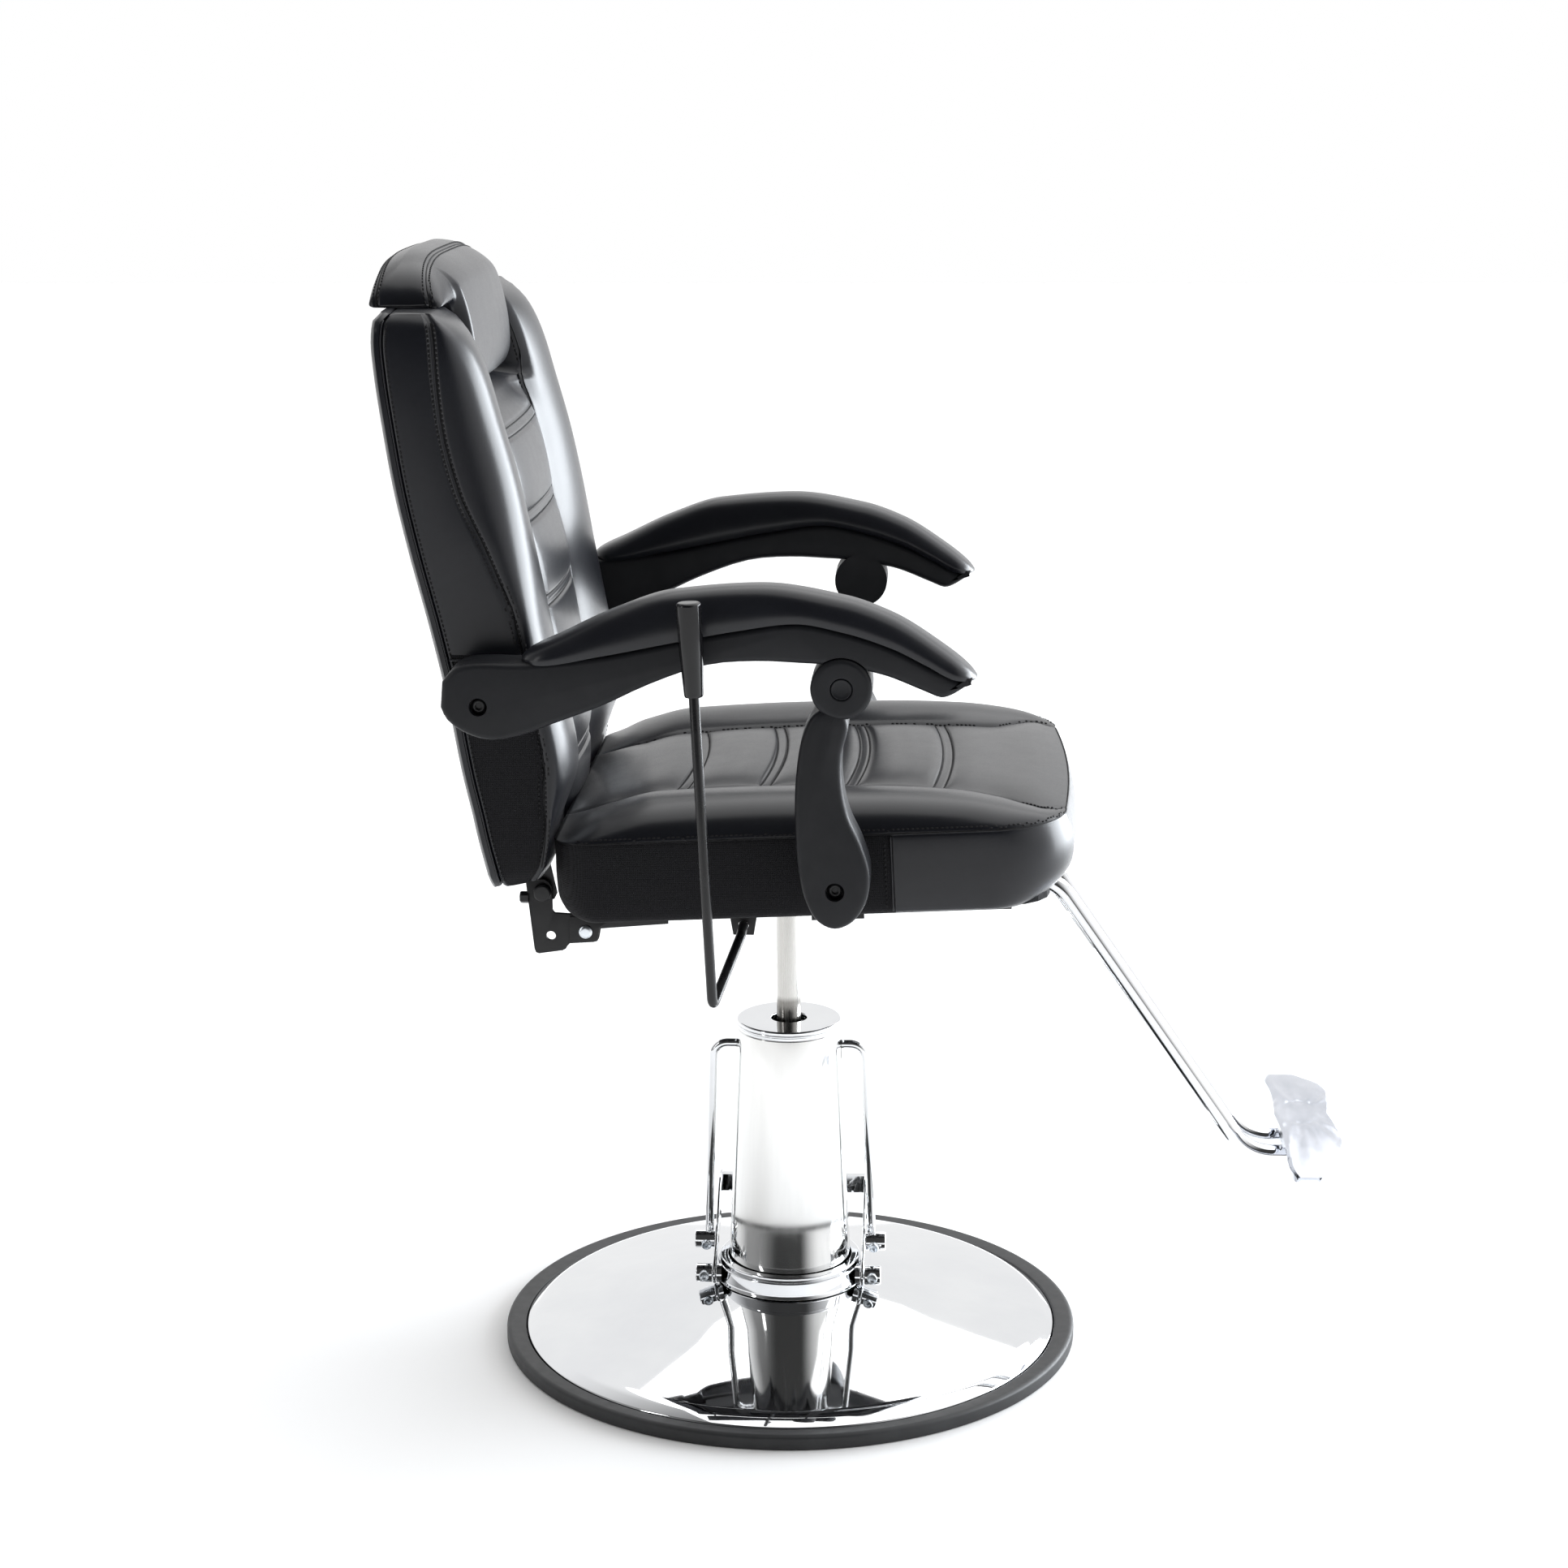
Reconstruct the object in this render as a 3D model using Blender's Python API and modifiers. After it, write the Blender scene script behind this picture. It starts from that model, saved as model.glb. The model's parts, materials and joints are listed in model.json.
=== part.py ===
"""Reclining hydraulic styling chair: round chrome base, foot pumped column,
upholstered seat with a reclining back, sliding headrest, linked armrests,
recline lever and tubular footrest.

Metres, +Z up.  The sitter faces +X, the sitter's left is +Y.  The origin is on
the floor, on the column axis.  Each visible object is one physical piece.
"""
import math

import bmesh
import bpy
from mathutils import Matrix, Vector

# ---------------------------------------------------------------- dimensions
GAP = 0.0004                      # assembly gap between touching pieces

RING_R = 0.300                    # outer radius of the rubber trim
DISH_R = 0.2785                   # rim of the chrome dish
DISH_BREAK_R, DISH_BREAK_Z = 0.265, 0.0225
DISH_IN_R, DISH_IN_Z = 0.0790, 0.0600
PLATE_R, PLATE_T = 0.270, 0.003

CASING_Z0, CASING_Z1 = 0.0620, 0.3350
CASING_R0, CASING_R1, CASING_T = 0.0646, 0.0535, 0.0012
CAP_TOP = 0.3447
COLLAR_Z0, COLLAR_Z1 = 0.0617, 0.0840

RAM_R, RAM_Z0, RAM_Z1 = 0.0125, 0.178, 0.505

PEDAL_Y, PEDAL_Z = -0.030, 0.0715         # pedal hinge, axis along X
TRUN_Y, TRUN_Z = 0.012, 0.0929            # lower pins of the link rods
LINK_TOP_Z = 0.316
LINK_X0, LINK_X1 = 0.0862, 0.0785

SEAT_TILT = math.radians(2.7)
SEAT_Z = 0.5235                   # underside of the seat at the column axis
SEAT_X0, SEAT_X1, SEAT_W = -0.208, 0.293, 0.252

HINGE_X, HINGE_Z = -0.226, 0.534          # recline hinge
BACK_TILT = math.radians(12.0)
HEAD_DIR = Vector((-0.13, 0.0, 0.9915)).normalized()

ARM_IN, ARM_OUT = 0.262, 0.312            # inner and outer face of an arm
ARM_REAR = (-0.267, 0.739)                # arm to back bolt
ARM_PIVOT = (0.066, 0.758)                # arm to front support pivot
SUP_BOLT = (0.060, 0.567)                 # front support to seat bolt
DISC_R = 0.0285

GAS_Y = 0.090
GAS_BACK = (-0.216, 0.482)
GAS_SEAT = (0.060, 0.470)

LEVER_X, LEVER_Z = -0.034, 0.4955
TUBE_R, TUBE_Y = 0.0095, 0.025

# --------------------------------------------------------------------- scene
for _ob in list(bpy.data.objects):
    bpy.data.objects.remove(_ob, do_unlink=True)

PARTS = bpy.data.collections.new("styling_chair")
CUTS = bpy.data.collections.new("cutters")
bpy.context.scene.collection.children.link(PARTS)
bpy.context.scene.collection.children.link(CUTS)


def material(name, colour, rough, metal):
    m = bpy.data.materials.new(name)
    m.use_nodes = True
    p = m.node_tree.nodes["Principled BSDF"]
    p.inputs["Base Color"].default_value = (*colour, 1.0)
    p.inputs["Roughness"].default_value = rough
    p.inputs["Metallic"].default_value = metal
    m.diffuse_color = (*colour, 1.0)
    return m


CHROME = material("chrome", (0.86, 0.87, 0.88), 0.06, 1.0)
STEEL = material("ground_steel", (0.62, 0.61, 0.59), 0.25, 1.0)
ZINC = material("zinc_plated", (0.72, 0.75, 0.78), 0.35, 1.0)
BLACKSTEEL = material("black_steel", (0.018, 0.018, 0.019), 0.45, 0.4)
RUBBER = material("trim_rubber", (0.035, 0.036, 0.038), 0.55, 0.0)
PLASTIC = material("arm_plastic", (0.035, 0.036, 0.040), 0.48, 0.0)
GRIPMAT = material("grip_plastic", (0.012, 0.012, 0.013), 0.12, 0.0)
LEATHER = material("pu_leather", (0.022, 0.023, 0.026), 0.38, 0.0)
CAST = material("cast_aluminium", (0.80, 0.82, 0.86), 0.22, 1.0)
PLY = material("plywood", (0.50, 0.36, 0.20), 0.70, 0.0)


# ------------------------------------------------------------------- helpers
def link(ob, mat=None, cut=False):
    (CUTS if cut else PARTS).objects.link(ob)
    if cut:
        ob.hide_render = True
        ob.display_type = "WIRE"
    if mat is not None:
        ob.data.materials.clear()
        ob.data.materials.append(mat)
    return ob


def finish_mesh(name, bm, mat=None, cut=False, angle=35.0):
    me = bpy.data.meshes.new(name)
    bm.to_mesh(me)
    bm.free()
    ob = bpy.data.objects.new(name, me)
    link(ob, mat, cut)
    if not cut:
        me.shade_smooth()
        me.set_sharp_from_angle(angle=math.radians(angle))
    return ob


def axis_matrix(centre, axis):
    """Local Z onto a world axis."""
    if axis == "X":
        rot = Matrix(((0, 0, 1), (1, 0, 0), (0, 1, 0))).to_4x4()
    elif axis == "Y":
        rot = Matrix(((0, 1, 0), (0, 0, 1), (1, 0, 0))).to_4x4()
    else:
        rot = Matrix.Identity(4)
    return Matrix.Translation(centre) @ rot


def turned(name, profile, mat, centre=(0, 0, 0), axis="Z", steps=32, closed=True,
           cut=False):
    """Profile (radius, height) running down its outer side, spun about axis."""
    me = bpy.data.meshes.new(name)
    n = len(profile)
    edges = [(i, i + 1) for i in range(n - 1)]
    if closed:
        edges.append((n - 1, 0))
    me.from_pydata([(r, 0.0, z) for r, z in profile], edges, [])
    ob = bpy.data.objects.new(name, me)
    link(ob, mat, cut)
    ob.matrix_world = axis_matrix(centre, axis)
    sc = ob.modifiers.new("Screw", "SCREW")
    sc.steps = sc.render_steps = steps
    sc.use_merge_vertices = True
    sc.merge_threshold = 0.00001
    sc.use_smooth_shade = True
    return ob


def rod(name, r, a, b, mat, steps=16, cut=False):
    """Plain round bar between two points."""
    a, b = Vector(a), Vector(b)
    bm = bmesh.new()
    bmesh.ops.create_cone(bm, cap_ends=True, segments=steps, radius1=r, radius2=r,
                          depth=(b - a).length)
    rot = (b - a).to_track_quat("Z", "Y").to_matrix().to_4x4()
    bmesh.ops.transform(bm, matrix=Matrix.Translation((a + b) / 2) @ rot, verts=bm.verts)
    return finish_mesh(name, bm, mat, cut)


def box(name, lo, hi, mat=None, cut=False, frame=None):
    bm = bmesh.new()
    bmesh.ops.create_cube(bm, size=1.0)
    lo, hi = Vector(lo), Vector(hi)
    size = hi - lo
    m = Matrix.Translation((lo + hi) / 2) @ Matrix.Diagonal((*size, 1.0))
    if frame is not None:
        m = frame @ m
    bmesh.ops.transform(bm, matrix=m, verts=bm.verts)
    return finish_mesh(name, bm, mat, cut)


def outline(name, pts, lo, hi, plane="XZ", mat=None, cut=False, bevel=0.0,
            segments=2, frame=None):
    """Flat outline extruded from lo to hi across its plane."""
    cu = bpy.data.curves.new(name + "_outline", "CURVE")
    cu.dimensions = "2D"
    cu.fill_mode = "BOTH"
    cu.extrude = abs(hi - lo) / 2
    sp = cu.splines.new("POLY")
    sp.points.add(len(pts) - 1)
    for p, (a, b) in zip(sp.points, pts):
        p.co = (a, b, 0.0, 1.0)
    sp.use_cyclic_u = True
    tmp = bpy.data.objects.new(name + "_curve", cu)
    bpy.context.scene.collection.objects.link(tmp)
    bpy.context.view_layer.update()
    me = bpy.data.meshes.new_from_object(
        tmp.evaluated_get(bpy.context.evaluated_depsgraph_get()))
    bm = bmesh.new()
    bm.from_mesh(me)
    bpy.data.objects.remove(tmp, do_unlink=True)
    bmesh.ops.remove_doubles(bm, verts=bm.verts, dist=0.00002)
    bmesh.ops.dissolve_limit(bm, angle_limit=0.01, verts=bm.verts, edges=bm.edges)
    mid = (lo + hi) / 2
    if plane == "XZ":
        m = Matrix(((1, 0, 0, 0), (0, 0, 1, mid), (0, 1, 0, 0), (0, 0, 0, 1)))
    elif plane == "YZ":
        m = Matrix(((0, 0, 1, mid), (1, 0, 0, 0), (0, 1, 0, 0), (0, 0, 0, 1)))
    else:
        m = Matrix(((1, 0, 0, 0), (0, 1, 0, 0), (0, 0, 1, mid), (0, 0, 0, 1)))
    if frame is not None:
        m = frame @ m
    bmesh.ops.transform(bm, matrix=m, verts=bm.verts)
    bmesh.ops.recalc_face_normals(bm, faces=bm.faces)
    ob = finish_mesh(name, bm, mat, cut)
    if bevel > 0:
        bv = ob.modifiers.new("Bevel", "BEVEL")
        bv.width = bevel
        bv.segments = segments
        bv.limit_method = "ANGLE"
        bv.angle_limit = math.radians(50)
    return ob


def boolean(ob, other, op="DIFFERENCE"):
    md = ob.modifiers.new(op.title(), "BOOLEAN")
    md.operation = op
    md.solver = "EXACT"
    md.object = other
    return ob


def cut(ob, *cutters):
    for c in cutters:
        boolean(ob, c)
    return ob


def join(ob, *pieces):
    """Union pieces into ob; the pieces become helpers."""
    for p in pieces:
        if p.name in PARTS.objects:
            PARTS.objects.unlink(p)
            CUTS.objects.link(p)
        p.hide_render = True
        p.display_type = "WIRE"
        boolean(ob, p, "UNION")
    return ob


def smooth_loop(keys, n=4):
    """Closed Catmull-Rom loop through the key points."""
    out = []
    m = len(keys)
    for i in range(m):
        p0, p1, p2, p3 = (keys[(i + k) % m] for k in (-1, 0, 1, 2))
        for j in range(n):
            t = j / n
            out.append(tuple(
                0.5 * ((2 * b) + (c - a) * t + (2 * a - 5 * b + 4 * c - d) * t * t
                       + (3 * b - a - 3 * c + d) * t ** 3)
                for a, b, c, d in zip(p0, p1, p2, p3)))
    return out


def smooth_line(keys, n=4):
    """Open Catmull-Rom line through the key points, ends included."""
    k = [keys[0]] + list(keys) + [keys[-1]]
    out = []
    for i in range(1, len(k) - 2):
        for j in range(n):
            t = j / n
            out.append(tuple(
                0.5 * ((2 * b) + (c - a) * t + (2 * a - 5 * b + 4 * c - d) * t * t
                       + (3 * b - a - 3 * c + d) * t ** 3)
                for a, b, c, d in zip(k[i - 1], k[i], k[i + 1], k[i + 2])))
    out.append(tuple(keys[-1]))
    return out


def bent_path(keys, radii, n=5):
    """Straight runs joined by arcs: the centre line of a bent tube."""
    pts = [Vector(k) for k in keys]
    out = [pts[0]]
    for i in range(1, len(pts) - 1):
        a, b, c = pts[i - 1], pts[i], pts[i + 1]
        u, v = (a - b).normalized(), (c - b).normalized()
        half = u.angle(v) / 2
        d = radii[i - 1] / math.tan(half)
        mid = b + (u + v).normalized() * (radii[i - 1] / math.sin(half))
        s, e = b + u * d - mid, b + v * d - mid
        turn = s.angle(e)
        ax = s.cross(e).normalized()
        for j in range(n + 1):
            out.append(mid + Matrix.Rotation(turn * j / n, 3, ax) @ s)
    out.append(pts[-1])
    return out


def tube(name, pts, r, mat, res=2):
    cu = bpy.data.curves.new(name, "CURVE")
    cu.dimensions = "3D"
    cu.bevel_depth = r
    cu.bevel_resolution = res
    cu.use_fill_caps = True
    sp = cu.splines.new("POLY")
    sp.points.add(len(pts) - 1)
    for p, q in zip(sp.points, pts):
        p.co = (*q, 1.0)
    sp.use_smooth = True
    ob = bpy.data.objects.new(name, cu)
    return link(ob, mat)


def solid_tube(name, pts, r, mat, res=2, is_cut=False):
    """Bent bar as a mesh, ready for a Boolean."""
    ob = tube(name + "_line", pts, r, mat, res)
    bpy.context.view_layer.update()
    me = bpy.data.meshes.new_from_object(
        ob.evaluated_get(bpy.context.evaluated_depsgraph_get()))
    bm = bmesh.new()
    bm.from_mesh(me)
    bpy.data.objects.remove(ob, do_unlink=True)
    bmesh.ops.remove_doubles(bm, verts=bm.verts, dist=0.00002)
    bmesh.ops.recalc_face_normals(bm, faces=bm.faces)
    return finish_mesh(name, bm, mat, is_cut)


def loft(name, rings, mat, cut=False):
    """Closed skin over rings of equal count, capped at both ends."""
    bm = bmesh.new()
    rows = [[bm.verts.new(p) for p in ring] for ring in rings]
    n = len(rows[0])
    for a, b in zip(rows, rows[1:]):
        for i in range(n):
            bm.faces.new((a[i], a[(i + 1) % n], b[(i + 1) % n], b[i]))
    bm.faces.new(rows[0][::-1])
    bm.faces.new(rows[-1])
    bmesh.ops.recalc_face_normals(bm, faces=bm.faces)
    return finish_mesh(name, bm, mat, cut, angle=50)


def interp(table, t):
    """Piecewise linear value of a small design table (t, value...)."""
    if t <= table[0][0]:
        return table[0][1:]
    for lo, hi in zip(table, table[1:]):
        if t <= hi[0]:
            f = (t - lo[0]) / (hi[0] - lo[0])
            return tuple(a + (b - a) * f for a, b in zip(lo[1:], hi[1:]))
    return table[-1][1:]


JOINTS = {}


def joint_empty(name, at):
    e = bpy.data.objects.new("axis_" + name, None)
    e.empty_display_size = 0.05
    e.location = at
    PARTS.objects.link(e)
    JOINTS[name] = e
    return e


def ride(name, *obs):
    e = JOINTS[name]
    inv = Matrix.Translation(e.location).inverted()
    for ob in obs:
        ob.parent = e
        ob.matrix_parent_inverse = inv


SEAT_FRAME = Matrix.Translation((0, 0, SEAT_Z)) @ Matrix.Rotation(-SEAT_TILT, 4, "Y")
BACK_FRAME = Matrix.Translation((HINGE_X, 0, HINGE_Z)) @ Matrix.Rotation(-BACK_TILT, 4, "Y")

joint_empty("lift", (0, 0, CAP_TOP))
joint_empty("swivel", (0, 0, RAM_Z1))
joint_empty("recline", (HINGE_X, 0, HINGE_Z))
joint_empty("headrest", (-0.366, 0, 1.09))
joint_empty("arm_right", (ARM_REAR[0], -0.287, ARM_REAR[1]))
joint_empty("arm_left", (ARM_REAR[0], 0.287, ARM_REAR[1]))
joint_empty("support_right", (ARM_PIVOT[0], -0.287, ARM_PIVOT[1]))
joint_empty("support_left", (ARM_PIVOT[0], 0.287, ARM_PIVOT[1]))
joint_empty("lever", (LEVER_X, -0.18, LEVER_Z))
joint_empty("pedal", (0, PEDAL_Y, PEDAL_Z))
joint_empty("link", (0, TRUN_Y, TRUN_Z))
joint_empty("plunger", (0, 0.044, LINK_TOP_Z))
joint_empty("gas_cylinder", (GAS_SEAT[0], GAS_Y, GAS_SEAT[1]))
joint_empty("gas_rod", (GAS_BACK[0], GAS_Y, GAS_BACK[1]))

# ---------------------------------------------------------------------- base
turned("base_bottom_plate", [(0, PLATE_T), (PLATE_R, PLATE_T), (PLATE_R, 0), (0, 0)],
       BLACKSTEEL, steps=48, closed=False)
turned("base_trim_ring",
       [(0.2815, 0.0146), (0.2965, 0.0152), (0.2990, 0.0140), (RING_R, 0.0118),
        (RING_R, 0.0018), (0.2988, 0.0), (0.2795, 0.0), (0.2795, 0.0138)],
       RUBBER, steps=48)
turned("base_dish",
       [(DISH_IN_R, DISH_IN_Z), (0.150, 0.0450), (DISH_BREAK_R, DISH_BREAK_Z),
        (DISH_R, 0.0130), (DISH_R, 0.0036), (DISH_R - 0.0015, 0.0036),
        (DISH_R - 0.0015, 0.0121), (DISH_BREAK_R - 0.0008, 0.0210),
        (0.150, 0.0434), (DISH_IN_R, 0.0584)],
       CHROME, steps=48)

pump = turned("pump_cylinder",
              [(0, 0.0160), (0.0240, 0.0160), (0.0240, 0.3220), (0.0300, 0.3220),
               (0.0300, 0.0120), (0.0575, 0.0120), (0.0575, 0.0034), (0, 0.0034)],
              STEEL, steps=24, closed=False)
turned("cylinder_guide_bush",
       [(0.0236, 0.3215), (0.0236, 0.3000), (0.0130, 0.3000), (0.0130, 0.3215)],
       STEEL, steps=24)
turned("plunger_barrel",
       [(0, 0.0155), (0.0058, 0.0155), (0.0058, 0.2000), (0.0088, 0.2000),
        (0.0088, 0.0124), (0, 0.0124)],
       STEEL, centre=(0, 0.044, 0), steps=12, closed=False)
spring_pts = []
for i in range(4 * 8 + 1):
    a = 2 * math.pi * i / 8
    spring_pts.append((0.0042 * math.cos(a), 0.044 + 0.0042 * math.sin(a),
                       0.0166 + 0.0544 * i / 32))
tube("plunger_return_spring", spring_pts, 0.0008, STEEL, res=1)


def casing_r(z):
    return CASING_R0 + (CASING_R1 - CASING_R0) * (z - CASING_Z0) / (CASING_Z1 - CASING_Z0)


casing = turned("column_casing",
                [(CASING_R1, CASING_Z1), (CASING_R0, CASING_Z0),
                 (CASING_R0 - CASING_T, CASING_Z0), (CASING_R1 - CASING_T, CASING_Z1)],
                CHROME, steps=48)
slot = box("casing_slots", (-0.08, -0.0058, 0.262), (0.08, 0.0058, 0.3290), cut=True)
cut(casing, slot)
turned("column_cap",
       [(0.0524, CAP_TOP), (0.0537, CAP_TOP - 0.0011), (0.0537, 0.3386), (0.0500, 0.3380),
        (0.0500, 0.3300), (0.0185, 0.3300), (0.0185, CAP_TOP)],
       CHROME, steps=32)

collar = turned("column_foot_collar",
                [(0.0728, COLLAR_Z1), (0.0736, COLLAR_Z1 - 0.0008), (0.0736, 0.0792),
                 (0.0748, 0.0788), (0.0755, 0.0780), (0.0755, COLLAR_Z0),
                 (0.0652, COLLAR_Z0), (0.0652, COLLAR_Z1)],
                CHROME, steps=36)
for sx, tag in ((1, "front"), (-1, "rear")):
    lug = rod("collar_lug_" + tag, 0.0096, (sx * 0.0700, PEDAL_Y, PEDAL_Z),
              (sx * 0.0758, PEDAL_Y, PEDAL_Z), CHROME, steps=16)
    join(collar, lug)
for sx, tag in ((1, "front"), (-1, "rear")):
    cut(collar, rod("collar_bore_" + tag, 0.0050, (sx * 0.0690, PEDAL_Y, PEDAL_Z),
                    (sx * 0.0800, PEDAL_Y, PEDAL_Z), None, steps=12, cut=True))
    pin = turned("pedal_pin_" + tag,
                 [(0.0, 0.0970), (0.0085, 0.0970), (0.0096, 0.0958), (0.0096, 0.0800),
                  (0.0045, 0.0800), (0.0045, 0.0715), (0.0, 0.0715)],
                 CHROME, steps=16, closed=False)
    pin.matrix_world = (Matrix.Translation((0, PEDAL_Y, PEDAL_Z))
                        @ Matrix.Rotation(sx * math.pi / 2, 4, "Y"))
    join(pin, rod("pin_screw_" + tag, 0.0052, (sx * 0.0880, PEDAL_Y - 0.0080, PEDAL_Z + 0.001),
                  (sx * 0.0880, PEDAL_Y - 0.0142, PEDAL_Z + 0.001), ZINC, steps=6))

# ------------------------------------------------------------- foot pedal
fork_side = smooth_loop([(-0.0300, 0.0600), (-0.0130, 0.0690), (0.0200, 0.0800),
                         (0.0560, 0.1080), (0.0880, 0.1130), (0.1000, 0.1180),
                         (0.0960, 0.1380), (0.0620, 0.1460), (0.0250, 0.1190),
                         (-0.0050, 0.0980), (-0.0340, 0.0830), (-0.0415, 0.0710)], 3)
fork = outline("pedal_fork", fork_side, 0.0764, 0.0792, "YZ", CHROME)
fork_b = outline("pedal_fork_rear_side", fork_side, -0.0792, -0.0764, "YZ", CHROME)
fork_bar = box("pedal_fork_bar", (-0.0780, 0.0870, 0.1185), (0.0780, 0.0950, 0.1370), CHROME)
fork_arm = outline("pedal_fork_arm",
                   smooth_loop([(0.0900, 0.1205), (0.1700, 0.1150), (0.2600, 0.1010),
                                (0.3020, 0.0980), (0.3040, 0.1035), (0.2600, 0.1075),
                                (0.1700, 0.1290), (0.0900, 0.1350)], 2),
                   -0.011, 0.011, "YZ", CHROME)
join(fork, fork_bar, fork_b, fork_arm)
cut(fork, box("pad_seat", (-0.02, 0.2480, 0.1078), (0.02, 0.3300, 0.1500), cut=True))
for sx, tag in ((1, "front"), (-1, "rear")):
    cut(fork,
        rod("fork_bore_" + tag, 0.0050, (sx * 0.0740, PEDAL_Y, PEDAL_Z),
            (sx * 0.0820, PEDAL_Y, PEDAL_Z), None, steps=12, cut=True),
        rod("fork_trunnion_" + tag, 0.0050, (sx * 0.0740, TRUN_Y, TRUN_Z),
            (sx * 0.0820, TRUN_Y, TRUN_Z), None, steps=12, cut=True))
pad = outline("pedal_pad",
              [(x, y) for x, y in ((-0.044, 0.2540), (-0.040, 0.2500), (0.040, 0.2500),
                                   (0.044, 0.2540), (0.044, 0.3080), (0.036, 0.3160),
                                   (-0.036, 0.3160), (-0.044, 0.3080))],
              0.1082, 0.1262, "XY", RUBBER, bevel=0.004)
ride("pedal", fork, pad)

# ------------------------------------------------------------- link rods
for sx, tag in ((1, "front"), (-1, "rear")):
    path = bent_path([(sx * LINK_X0, TRUN_Y, TRUN_Z + 0.0010),
                      (sx * LINK_X1, 0.0, LINK_TOP_Z),
                      (sx * 0.0492, 0.0, LINK_TOP_Z)], [0.015], 6)
    lr = tube("link_rod_" + tag, path, 0.0042, CHROME, res=2)
    end = turned("rod_end_" + tag,
                 [(0.0, 0.1015), (0.0088, 0.1015), (0.0098, 0.1005), (0.0098, 0.0798),
                  (0.0045, 0.0798), (0.0045, 0.0764), (0.0, 0.0764)], CHROME, steps=16, closed=False)
    end.matrix_world = (Matrix.Translation((0, TRUN_Y, TRUN_Z))
                        @ Matrix.Rotation(sx * math.pi / 2, 4, "Y"))
    cut(end, rod("rod_hole_" + tag, 0.0051, (sx * LINK_X0, TRUN_Y, TRUN_Z + 0.0002),
                 (sx * (LINK_X0 - 0.0008), TRUN_Y, TRUN_Z + 0.02), None, steps=16, cut=True))
    sc = rod("rod_screw_" + tag, 0.0055,
             (sx * 0.0880, TRUN_Y - 0.0096, TRUN_Z - 0.0035),
             (sx * 0.0880, TRUN_Y - 0.0140, TRUN_Z - 0.0051), ZINC, steps=6)
    ride("link", lr, end, sc)

# ---------------------------------------------------------------- plunger
cross = turned("pump_crosshead",
               [(0.0395, 0.3240), (0.0395, 0.3085), (0.0306, 0.3085), (0.0306, 0.3240)],
               STEEL, steps=24)
for tag, lo, hi in (("front", (0.034, -0.0045, 0.3090), (0.0484, 0.0045, 0.3235)),
                    ("rear", (-0.0484, -0.0045, 0.3090), (-0.034, 0.0045, 0.3235)),
                    ("plunger", (-0.006, 0.034, 0.3090), (0.006, 0.0500, 0.3235))):
    join(cross, box("crosshead_boss_" + tag, lo, hi, STEEL))
plunger = rod("pump_plunger", 0.0052, (0, 0.044, 0.0720), (0, 0.044, 0.3082), STEEL, steps=12)
ride("plunger", cross, plunger)

# -------------------------------------------------------------------- ram
ram = rod("ram", RAM_R, (0, 0, RAM_Z0), (0, 0, RAM_Z1), STEEL, steps=24)
piston = turned("ram_piston",
                [(0.0235, 0.1960), (0.0235, 0.1800), (0.0130, 0.1800), (0.0130, 0.1960)],
                STEEL, steps=24)
ride("lift", ram, piston)

# ------------------------------------------------------------- seat steel
mount = turned("seat_mount",
               [(0, 0.5060), (0.0130, 0.5060), (0.0130, 0.4870), (0.0210, 0.4870),
                (0.0210, 0.5115), (0, 0.5115)][::-1],
               BLACKSTEEL, steps=24, closed=False)
plate = box("seat_mount_plate", (-0.085, -0.076, 0.4890), (0.085, 0.076, 0.4940), BLACKSTEEL)
plate_hole = rod("seat_mount_hole", 0.0170, (0, 0, 0.48), (0, 0, 0.52), None, 24, cut=True)
cut(plate, plate_hole)
join(mount, plate)

F = SEAT_FRAME
frame = box("seat_frame", (-0.165, 0.1725, -0.0140), (0.225, 0.1975, -GAP), BLACKSTEEL, frame=F)
members = [box("rail_right", (-0.165, -0.1975, -0.0140), (0.225, -0.1725, -GAP), BLACKSTEEL, frame=F)]
for i, x in enumerate((-0.100, -0.060, 0.060, 0.205)):
    if i == 1:
        continue
    members.append(box("cross_member_%d" % i, (x - 0.0125, -0.1735, -0.0181),
                       (x + 0.0125, 0.1735, -GAP - 0.0002), BLACKSTEEL, frame=F))
for s in (-1, 1):
    y0, y1 = sorted((s * 0.1880, s * 0.2390))
    members.append(box("arm_strap_%d" % (s + 1), (0.0370, y0, -0.0056), (0.0830, y1, -0.0010),
                       BLACKSTEEL, frame=F))
    y0, y1 = sorted((s * 0.2365, s * 0.2405))
    members.append(box("arm_upright_%d" % (s + 1), (0.035, y0, -0.0062), (0.085, y1, 0.0600),
                       BLACKSTEEL, frame=F))
members.append(outline("gas_lug", [(0.050, 0.460), (0.070, 0.460), (0.070, 0.500), (0.0700, 0.5155),
                                   (0.050, 0.5145)], 0.1010, 0.1050, "XZ", BLACKSTEEL))
members.append(outline("lever_lug", [(-0.044, 0.4860), (-0.024, 0.4860), (-0.020, 0.5100),
                                     (-0.048, 0.5100)], -0.1800, -0.1760, "XZ", BLACKSTEEL))
join(frame, *members)
cut(frame,
    rod("gas_lug_bore", 0.0036, (GAS_SEAT[0], 0.098, GAS_SEAT[1]),
        (GAS_SEAT[0], 0.108, GAS_SEAT[1]), None, 12, cut=True),
    rod("lever_lug_bore", 0.0052, (LEVER_X, -0.185, LEVER_Z), (LEVER_X, -0.171, LEVER_Z),
        None, 12, cut=True),
    rod("support_bolt_bore_l", 0.0048, (SUP_BOLT[0], 0.232, SUP_BOLT[1]),
        (SUP_BOLT[0], 0.246, SUP_BOLT[1]), None, 12, cut=True),
    rod("support_bolt_bore_r", 0.0048, (SUP_BOLT[0], -0.232, SUP_BOLT[1]),
        (SUP_BOLT[0], -0.246, SUP_BOLT[1]), None, 12, cut=True))


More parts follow.
